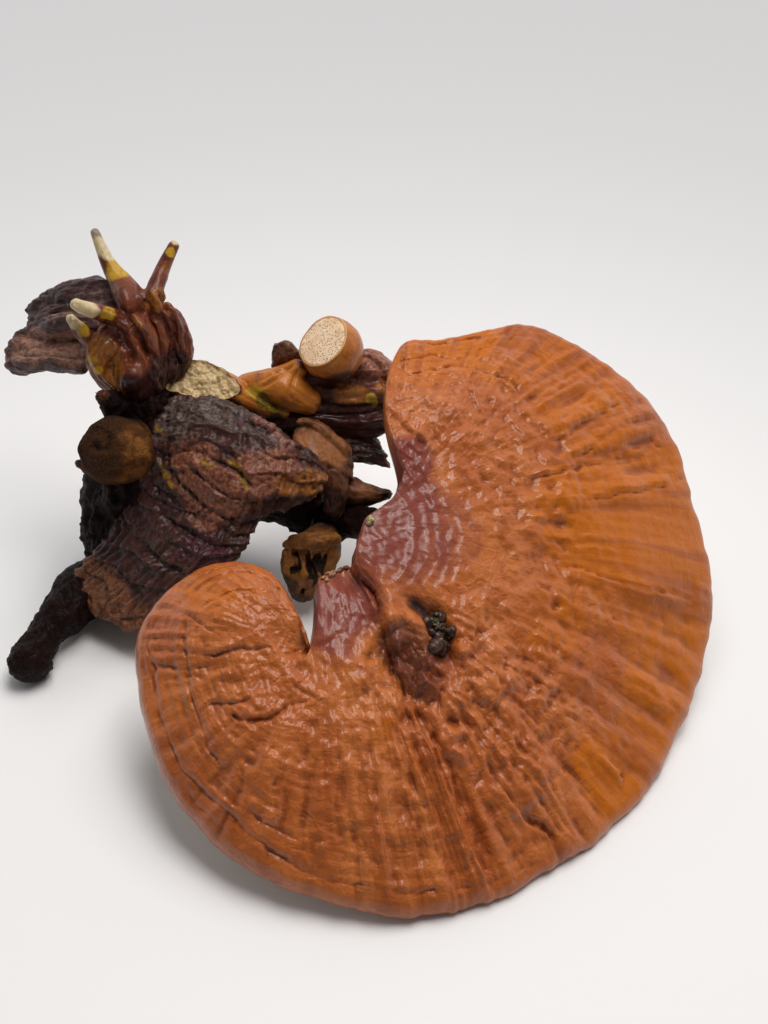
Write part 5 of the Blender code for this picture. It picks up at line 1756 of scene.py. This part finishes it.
torn_rise += 0.4 * pleated(spots, 7.0, 154, 2)
raise_skin(torn_mesh, torn_rise * (1 - 0.8 * smooth))
paint(
    torn_mesh,
    flesh=[(-27, 60, 63, 4, 1.0), (-22, 60, 60, 4, 1.0), (-18, 59, 56, 3, 0.9), (-30, 66, 65, 3, 0.7)],
    dark=[(-20, 50, 42, 4, 0.9), (-14, 60, 50, 3, 0.8), (-20, 50, 33, 4, 0.9), (-32, 54, 56, 3, 0.6)],
)
pointed_mesh = fuse([sheet(POINTED_CAP, 4.2, 0, 0.5)], 0.42, 2)
grown = growth_of(pointed_mesh)
near_edge = smoothstep(0.2, 1.6, np.abs(grown[:, 1]))
raise_skin(pointed_mesh, (0.25 + 0.55 * near_edge) * layered(grown / (3, 1, 1), 3.0, 153, 3, hard=True))
paint(
    pointed_mesh,
    lip=[(-16, 75, 54, 2.4, 0.7), (-6, 74, 53, 2, 0.4)],
    # Painted sheen on the glossy top of the pointed cap.
    shine=[(-12, 76, 54, 2, 0.5)],
    red=[(0, 68, 45, 3, 0.5)],
)
horn_mesh = fuse([tube(HORN_RUN, 0, 0.5)], 0.42, 2)
raise_skin(horn_mesh, 0.45 * layered(growth_of(horn_mesh) / (1, 1, 3), 4.0, 154, 3, hard=True))
paint(
    horn_mesh,
    flesh=[(-7, 54, 43.5, 2.6, 0.6)],
    dark=[(2, 53, 43, 2, 1.0), (-14, 55, 36, 4, 0.9), (-6, 53, 37, 3, 0.8)],
)
torn_skin = skin_finish(
    "torn_flesh",
    [(0.08, 0.028, 0.012), (0.14, 0.05, 0.02), (0.2, 0.085, 0.036)],
    [
        ("flesh", (0.21, 0.078, 0.028), (0.29, 0.115, 0.045)),
        ("dark", (0.025, 0.01, 0.007), (0.06, 0.02, 0.012)),
    ],
    gloss=(0.4, 0.6),
    coat=0.15,
    depth=0.07,
)
hand_over(torn_mesh, "torn_cap_skin", "torn_cap", torn_skin)
hand_over(pointed_mesh, "pointed_cap_skin", "pointed_cap", curled_skin)
hand_over(horn_mesh, "horn_skin", "horn", torn_skin)

# %% [markdown]
# ## The stump
# The stub in front of the foot has shrunk as it dried: ochre skin stands up in ridges between
# black hollows.

# %% Stump
STUMP_RUNS = [
    [(-22, 52, 28, 6), (-25, 44, 24, 9), (-29, 39, 18, 9), (-32, 35, 10, 6), (-33, 32, 5, 3.6)],
    [(-38, 42, 27, 2.4), (-31, 38, 31, 3.2), (-24, 38, 32, 3.2), (-18, 42, 29, 2.6)],
    [(-37, 41, 26, 3), (-37, 36, 20, 3.6), (-35, 33, 13, 3), (-33, 31, 8, 2.4)],
]
STUMP_PITS = [
    ([(-34, 38, 27), (-33, 35, 23), (-34, 34, 19)], 1.1, -2.2),
    ([(-29, 36, 27), (-29, 34, 24), (-28, 33, 19), (-29, 32, 15)], 1.5, -3.0),
    ([(-25, 36, 28), (-26, 34, 25), (-25, 33, 22)], 1.7, -3.4),
    ([(-21, 38, 29), (-22, 36, 26), (-24, 34, 22), (-24, 33, 18)], 1.1, -2.2),
    ([(-32, 32, 14), (-31, 31, 10)], 0.9, -1.6),
]
stump_mesh = fuse(tubes(STUMP_RUNS, 0, 0.5), 0.45, 3)
spots = points_of(stump_mesh)
warped = spots + 2.0 * np.column_stack([noise_at(spots, 5.0, seed) for seed in (164, 165, 166)])
pits = folded_along(warped, STUMP_PITS) * (1 + 0.7 * noise_at(spots, 3.0, 167))
ridges = 0.7 * layered(growth_of(stump_mesh) / (1, 1, 2), 5.0, 161, 3, hard=True)
raise_skin(stump_mesh, ridges + pits)
write_mask(stump_mesh, "black", smoothstep(-0.5, -1.3, pits))
paint(stump_mesh, dark=[(-33, 28, 6, 4, 1.0), (-22, 50, 32, 4, 0.9), (-37, 34, 14, 3, 0.9)])
stump_skin = skin_finish(
    "stump_skin",
    [(0.15, 0.05, 0.011), (0.26, 0.1, 0.02), (0.4, 0.17, 0.04)],
    [
        ("dark", (0.03, 0.012, 0.007), (0.07, 0.025, 0.012)),
        ("black", (0.008, 0.004, 0.003), (0.02, 0.009, 0.006)),
    ],
    gloss=(0.45, 0.65),
    coat=0.08,
    mottle=4.0,
)
hand_over(stump_mesh, "stump_skin", "stump", stump_skin)
